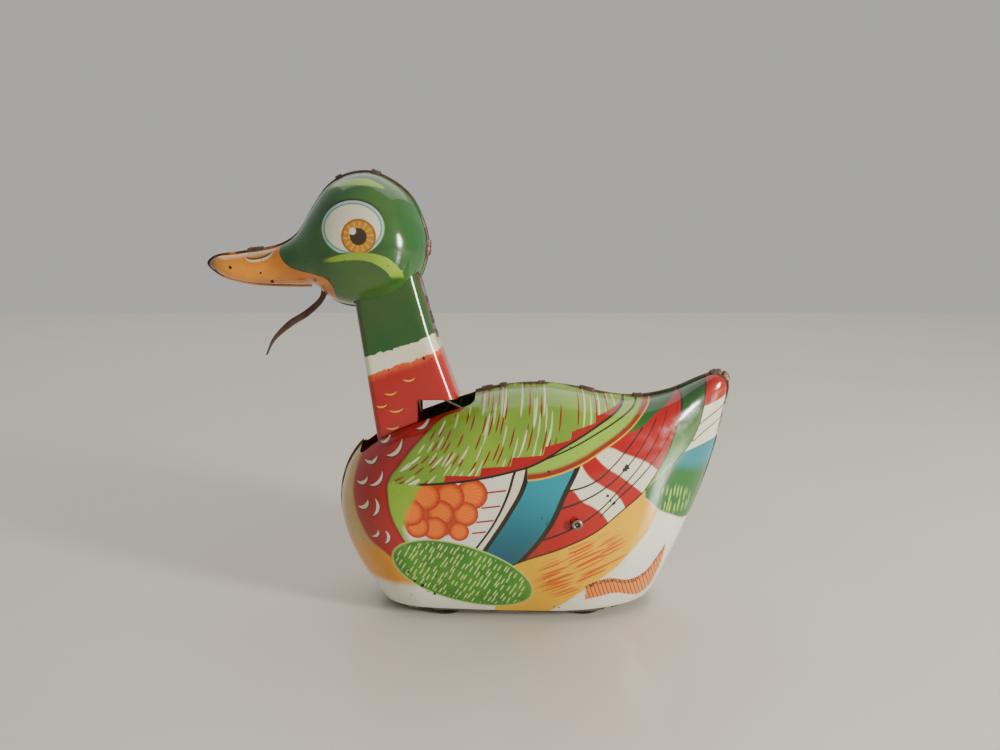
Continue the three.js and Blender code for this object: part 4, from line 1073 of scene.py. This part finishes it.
def green_patch(paint):
    paint.lay(paint.ellipse(*PATCH[:2], PATCH[2] + 0.5, PATCH[3] + 0.5, PATCH[4]), INK["pale_green"])
    shape = paint.ellipse(*PATCH)
    paint.lay(shape, paint.mixed(paint.ramp(paint.noise(0.09), 0.4, 0.6), INK["patch_dark"], INK["patch_light"]))
    inside = paint.ellipse(PATCH[0], PATCH[1], PATCH[2] - 0.9, PATCH[3] - 0.8, PATCH[4], 0.04)
    marks, chance = paint.strokes(turned_cells(paint, 60, 1.55, 3.2), 0.46, 0.18)
    paint.lay(marks * chance.math("LESS_THAN", 0.93) * inside, INK["patch_mark"])


def front_edge(paint):
    """The unprinted band along the breast's seam: cream above, yellow lower down, then white below."""
    edge = paint.line(BREAST_EDGE, "x")
    left = paint.ramp(edge, -0.9, 0.7, 1, 0)
    lower = paint.ramp(paint.z, 22, 30, 1, 0)
    paint.lay(left, paint.mixed(lower, INK["bare_cream"], INK["low_yellow"]))
    paint.lay(paint.ramp(paint.z, 10, 13.5, 1, 0) * paint.ramp(paint.x, -9, -8.4, 1, 0), INK["white"])


def chip(paint, x, z, size):
    rough = paint.noise(0.9, 3.0) * (2.6 * size)
    return paint.ramp(paint.distance(x, z) + rough, 1.9 * size, 2.1 * size, 1, 0)


def seam_wear(paint, spots):
    """Bare, rusty tin along the crimped seam, wider at the spots named."""
    off_seam = paint.y.math("ABSOLUTE")
    wander = paint.noise(0.12, 3.0) * 2.2
    reach = wander - paint.ramp(paint.z, 112.5, 118, 0.7, 0) * paint.ramp(paint.z, 86, 90)
    for x, z, size in spots:
        reach = reach + paint.ramp(paint.distance(x, z), size * 0.3, size, 1.5, 0)
    edge = paint.ramp(off_seam - reach, -0.35, 0.1, 1, 0)
    grain = paint.ramp(paint.noise(0.8, 3.0), 0.4, 0.62)
    paint.lay(edge * 0.92, paint.mixed(grain, INK["rust"], INK["soot"]))
    return edge


def printed(paint, edge, chips):
    """Varnish, small scratches and slow colour changes over a finished print."""
    grime = paint.ramp(paint.noise(0.03, 4.0), 0.42, 0.75, 0.04, 0.24)
    paint.lay(grime, INK["grime"])
    bare = paint.ramp(paint.noise(0.75, 2.0), 0.735, 0.755)
    for x, z, size in chips:
        bare = bare.math("MAXIMUM", chip(paint, x, z, size))
    paint.lay(bare, INK["soot"])
    worn = bare.math("MAXIMUM", edge)
    fine = paint.noise(0.25, 3.0)
    roughness = paint.ramp(fine, 0.3, 0.7, 0.11, 0.2) + worn * 0.35
    dents = paint.noise(0.035, 1.0) * 2.2 + paint.noise(0.9, 2.0) * 0.02
    paint.bumps(dents - worn * 0.05, 0.5)
    return paint.done(roughness, worn * 0.4, worn.inverted() * 0.3)


def body_print():
    paint = Paint("tin_body_print", INK["red"])
    paint.lay(paint.ramp(paint.noise(0.04), 0.3, 0.7, 0, 0.5), INK["breast_tint"])
    breast_marks(paint)
    wing(paint)
    under_wing(paint)
    bars(paint)
    tail_feathers(paint)
    upper_band(paint)
    tail_green(paint)
    tail_tip(paint)
    belly(paint)
    leg(paint)
    front_edge(paint)
    green_patch(paint)
    edge = seam_wear(paint, SEAM_RUST)
    return printed(paint, edge, CHIPS)


# ---- The head's and neck's prints ----

BILL_BACK = [(-80.8, 125.6), (-79.6, 121.6), (-77, 118.8), (-72.6, 117.2), (-67.3, 116.2), (-63.4, 114.8)]
BILL_EDGE = [(-82, 129), *BILL_BACK, (-61.8, 112), (-61.6, 109), (-62.4, 104)]
BILL_TOP = [(-82, 128), *BILL_BACK]
CHEEK_TOP = [(-66, 120.8), (-61.6, 122), (-55.6, 123.4), (-49.9, 123.6), (-44.2, 122.4), (-40.7, 119.6),
             (-38.4, 115)]
CHEEK_LOW = [(-66, 120.6), (-61, 120.6), (-56, 121.2), (-49.9, 121), (-45.5, 119), (-42.6, 115.6), (-41, 111)]
CROWN_TOP = [(-64, 143), (-62.5, 144.6), (-57.6, 146.6), (-51.7, 147.2), (-45.9, 145.2), (-43.5, 143)]
CROWN_LOW = [(-64, 142.9), (-57.2, 144.8), (-50.1, 144.8), (-43.5, 143)]
EYE = {"x": -54, "z": 131.4, "half_long": 10.2, "half_high": 8.6, "floor": 123.6}
IRIS = {"x": -52, "z": 128.7, "radius": 5.6, "pupil": 2.7, "rays": 14}
GLINT = (-53.8, 130.4, 1.1)
HEAD_RUST = [(-93, 124, 5), (-31, 126, 6), (-50, 150, 5), (-104, 120, 7)]
BILL_DOTS = [(-97.5, 118.4, 0.7), (-87.3, 116.4, 0.5), (-103.5, 116.4, 1.6), (-84, 113.4, 0.9)]


def eye(paint):
    """A wide cartoon eye: white with a blue inner ring, an amber iris with rays, and a flat lower lid."""
    above_lid = paint.ramp(paint.z, EYE["floor"] - 0.15, EYE["floor"] + 0.15)
    shade = paint.ellipse(EYE["x"], EYE["z"] + 0.4, EYE["half_long"] + 0.3, EYE["half_high"] + 0.3, 0, 0.03)
    paint.lay(shade * paint.ramp(paint.z, EYE["z"], EYE["z"] + 8), INK["lid_shade"])
    for inset, ink in ((0, "eye_rim"), (0.7, "eye_blue"), (1.15, "cream")):
        ring = paint.ellipse(EYE["x"], EYE["z"], EYE["half_long"] - inset, EYE["half_high"] - inset, 0)
        paint.lay(ring * above_lid, INK[ink])
    reach = paint.distance(IRIS["x"], IRIS["z"])
    iris = paint.nearer(reach, IRIS["radius"]) * above_lid
    paint.lay(iris, INK["iris_rim"])
    inner = paint.ramp(reach, IRIS["radius"] - 0.9, IRIS["radius"] - 0.5, 1, 0) * above_lid
    rays = paint.ramp(paint.math("SINE", paint.angle_about(IRIS["x"], IRIS["z"]) * IRIS["rays"]), 0.35, 0.9)
    paint.lay(inner, paint.mixed(rays * 0.7, INK["iris"], INK["iris_ray"]))
    paint.lay(paint.nearer(reach, IRIS["pupil"]), INK["pupil"])
    paint.lay(paint.disc(*GLINT), INK["white"])


def bill(paint):
    edge = paint.line(BILL_EDGE, "x")
    low_edge = paint.line(BILL_TOP)
    front = paint.past(edge * -1, 0.15)
    under = paint.past(low_edge * -1, 0.15) * paint.ramp(paint.x, -63.6, -63, 1, 0)
    shape = front.math("MAXIMUM", under)
    dark_front = paint.ramp(edge, 0.0, 0.5, 1, 0)
    dark_under = paint.past(low_edge * -1 + 0.4, 0.15) * paint.ramp(paint.x, -63, -62, 1, 0)
    paint.lay(dark_front.math("MAXIMUM", dark_under), INK["bill_outline"])
    tint = paint.ramp(paint.noise(0.08, 3.0), 0.35, 0.7)
    paint.lay(shape, paint.mixed(tint, INK["bill"], INK["bill_dark"]))
    nostril = paint.ellipse(-87.8, 123.1, 4.4, 1.5, 12, 0.08)
    paint.lay(paint.ellipse(-87.4, 122.2, 4.7, 1.9, 12, 0.08), INK["nostril_light"])
    paint.lay(paint.ellipse(-87.6, 122.7, 4.6, 1.7, 12, 0.08), INK["nostril_line"])
    paint.lay(nostril, INK["nostril"])
    tip = paint.ramp(paint.x + paint.noise(0.4, 3.0) * 4, -102.5, -99.5, 0.85, 0)
    paint.lay(tip, INK["bill_tip"])
    # The bill is darker towards its lower edge, with a ragged border.
    low_darkening = paint.ramp(paint.z + paint.noise(0.3, 3.0) * 4, 113.6, 116, 0.55, 0)
    paint.lay(low_darkening * shape, INK["bill_low_darkening"])


def head_print():
    paint = Paint("tin_head_print", INK["head_green"])
    paint.lay(paint.ramp(paint.noise(0.06), 0.35, 0.65, 0, 0.6), INK["head_tint"])
    crown = paint.past(paint.line(CROWN_TOP) * -1, 0.3) * paint.past(paint.line(CROWN_LOW), 0.3)
    crown = crown * paint.ramp(paint.x, -64, -62) * paint.ramp(paint.x, -45.5, -44, 1, 0)
    paint.lay(crown, INK["light_green"])
    eye(paint)
    cheek = paint.past(paint.line(CHEEK_TOP) * -1, 0.2) * paint.past(paint.line(CHEEK_LOW), 0.2)
    ends = paint.ramp(paint.x, -65, -61) * paint.ramp(paint.z, 114.6, 116.4)
    paint.lay(cheek * ends, INK["light_green"])
    bill(paint)
    edge = seam_wear(paint, HEAD_RUST)
    return printed(paint, edge, BILL_DOTS)


NECK_GREEN_LOW = [(-54, 88), (-46, 90.2), (-40, 91.8), (-32.7, 94.6), (-26, 97.4)]
NECK_WHITE_LOW = [(-54, 81), (-48, 83.2), (-42.9, 85.2), (-36, 87.4), (-32.5, 88.8), (-25, 91.4)]
NECK_MARKS = [(-37.8, 79.8, 5.0), (-44.2, 75.0, 5.2), (-47.4, 70.6, 4.4), (-42.4, 69.0, 6.4),
              (-43.8, 62.9, 5.6)]


def neck_print():
    paint = Paint("tin_neck_print", INK["red"])
    paint.lay(paint.ramp(paint.noise(0.05), 0.35, 0.65, 0, 0.5), INK["neck_tint"])
    ragged = (paint.noise(0.5, 2.0) - 0.5) * 2.2
    above_red = paint.line(NECK_WHITE_LOW) + ragged
    paint.lay(paint.ramp(above_red, -3.2, -0.2, 0, 0.7), INK["neck_orange"])
    for x, z, chord in NECK_MARKS:
        paint.lay(paint.crescent(x + 0.2, z - 0.2, chord + 0.4, -82, 0.75), INK["neck_mark_shadow"])
        paint.lay(paint.crescent(x, z, chord, -82, 0.55), INK["neck_mark"])
    paint.lay(paint.past(above_red, 0.3), INK["cream"])
    above_white = paint.line(NECK_GREEN_LOW) + ragged
    paint.lay(paint.past(above_white, 0.2), INK["head_green"])
    rear = paint.ramp(paint.x + (paint.z - 68) * 0.3, -21.6, -20.2)
    rust = rear * paint.ramp(paint.noise(0.2, 3.0), 0.42, 0.5) * paint.ramp(paint.z, 88, 96)
    paint.lay(rust, INK["rust"])
    cut_edge = paint.ramp(paint.z + paint.noise(0.4, 2.0), 73.6, 74.6, 1, 0) * paint.ramp(paint.x, -36, -35.4)
    return printed(paint, cut_edge.math("MAXIMUM", rust * 0.8), [(-33, 88, 0.6), (-45, 84, 0.4)])


# ---- Plain metals ----

def metal(name, color, dark, rough, wear=(120, 84, 52), amount=0.4, metallic=1.0):
    """Satin metal with mottling and brown spots, which are rougher and less metallic."""
    paint = Paint(name, color)
    paint.lay(paint.ramp(paint.noise(0.12, 4.0), 0.35, 0.7), dark)
    spots = paint.ramp(paint.noise(0.45, 4.0), 0.55, 0.68, 0, amount)
    paint.lay(spots, wear)
    grain = paint.noise(1.6, 3.0, paint.local(0, 0, 1, 0.3, 0))
    roughness = paint.ramp(grain, 0.3, 0.7, rough - 0.07, rough + 0.1) + spots * 0.5
    paint.bumps(paint.noise(1.1, 3.0) - spots * 0.4, 0.06)
    return paint.done(roughness, spots.inverted() * metallic)


MATERIALS = {
    "printed_tin_body": body_print(),
    "printed_tin_head": head_print(),
    "printed_tin_neck": neck_print(),
    "plain_steel": metal("dull_steel", (150, 144, 134), (104, 98, 90), 0.42),
    "bare_strip": metal("brown_strip", (120, 100, 88), (86, 66, 56), 0.45, (98, 60, 42), 0.7, 0.8),
    "gear_brass": metal("satin_brass", (190, 150, 82), (150, 112, 58), 0.32, (90, 66, 36)),
    "spring_steel": metal("blued_spring", (70, 78, 96), (44, 48, 60), 0.3, (80, 60, 50), 0.25),
    "wheel_tin": metal("dark_wheel", (58, 54, 50), (34, 32, 30), 0.5, (92, 60, 40), 0.6, 0.5),
}


def dress(obj, slot, body=None):
    obj.data.materials.clear()
    obj.data.materials.append(MATERIALS[slot])
    if body:
        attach(obj, body)


for part in frame["record"]["subparts"]:
    dress(frame["nodes"][part["node"]], part["material_slot"])

# ---- Pieces ----

for side, word in ((-1, "left"), (1, "right")):
    skin = body_shell(f"body_skin_{word}", side)
    dress(skin, "printed_tin_body", "body")
    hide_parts(f"body_shell_{word}")
    cap = head_shell(f"head_skin_{word}", side)
    dress(cap, "printed_tin_head", "neck")
    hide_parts(f"head_shell_{word}")

neck_skin = neck()
dress(neck_skin, "printed_tin_neck", "neck")
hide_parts("neck_tube")

for end, x in AXLES.items():
    for side, word in ((-1, "left"), (1, "right")):
        disc = wheel(f"{end}_tyre_{word}", x, side)
        dress(disc, "wheel_tin", f"{end}_running_gear")
        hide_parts(f"{end}_wheel_{word}")

blade = tongue("tongue_blade")
dress(blade, "bare_strip", "tongue")
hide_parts("tongue_strip")
link = rod("rod_wire")
dress(link, "plain_steel", "rod")
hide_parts("connecting_rod")
handle = key("key_bow")
dress(handle, "plain_steel", "winding")
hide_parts("winding_key")
near_rivet = rivet("eyelet_rolled", EYELET, -1)
dress(near_rivet, "plain_steel", "body")
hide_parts("arbor_eyelet")
key_rivet = rivet("bushing_rolled", BUSHING, 1)
dress(key_rivet, "gear_brass", "body")
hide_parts("key_bushing")

for number, (form, place, length, body) in enumerate(SEAM_TABS):
    fold = seam_tab(f"seam_tab_{number}", form, place, length)
    dress(fold, "bare_strip", body)
for number, (low_end, high_end) in enumerate(NECK_TABS):
    fold = neck_tab(f"neck_tab_{number}", low_end, high_end)
    dress(fold, "bare_strip", "neck")


# ---- Camera, floor and light ----

FLOOR = {"half": 900, "z": -2.5}
CAMERA = {"place_m": (-0.007, -0.276, 0.1345), "tilt": 78.9, "lens": 28.8}
SKY = {"color": (0.78, 0.77, 0.74, 1), "strength": 0.6}


def floor():
    half = FLOOR["half"]
    corners = [(x * half, y * half, FLOOR["z"]) for x, y in ((-1, -1), (1, -1), (1, 1), (-1, 1))]
    plane = mesh_object("floor", corners, [(0, 1, 2, 3)], smooth=False)
    paint = Paint("pale_floor", (224, 217, 203))
    paint.lay(paint.ramp(paint.noise(0.01, 2.0), 0.3, 0.7, 0, 0.3), (216, 210, 198))
    plane.data.materials.append(paint.done(0.28))
    return plane


def area_light(name, place, target, size, power, color):
    """A lamp turned to its target, with places and size in metres."""
    lamp = bpy.data.lights.new(name, "AREA")
    lamp.shape = "RECTANGLE"
    lamp.size, lamp.size_y = size
    lamp.energy = power
    lamp.color = color
    made = bpy.data.objects.new(name, lamp)
    made.location = place
    made.rotation_euler = (Vector(target) - Vector(place)).to_track_quat("-Z", "Y").to_euler()
    bpy.context.scene.collection.objects.link(made)


def camera():
    lens = bpy.data.cameras.new("camera")
    lens.lens = CAMERA["lens"]
    made = bpy.data.objects.new("camera", lens)
    made.location = CAMERA["place_m"]
    made.rotation_euler = (math.radians(CAMERA["tilt"]), 0, 0)
    bpy.context.scene.collection.objects.link(made)
    bpy.context.scene.camera = made


def world():
    sky = bpy.data.worlds.new("soft_room")
    sky.use_nodes = True
    background = sky.node_tree.nodes["Background"]
    background.inputs["Color"].default_value = SKY["color"]
    background.inputs["Strength"].default_value = SKY["strength"]
    bpy.context.scene.world = sky


floor()
area_light("window", (0.66, -0.36, 0.2), (0, 0, 0.07), (0.1, 0.24), 8, (1.0, 0.96, 0.9))
area_light("ceiling", (0.0, 0.6, 1.1), (0, 0, 0), (1.6, 1.2), 7, (1.0, 0.98, 0.95))
camera()
world()
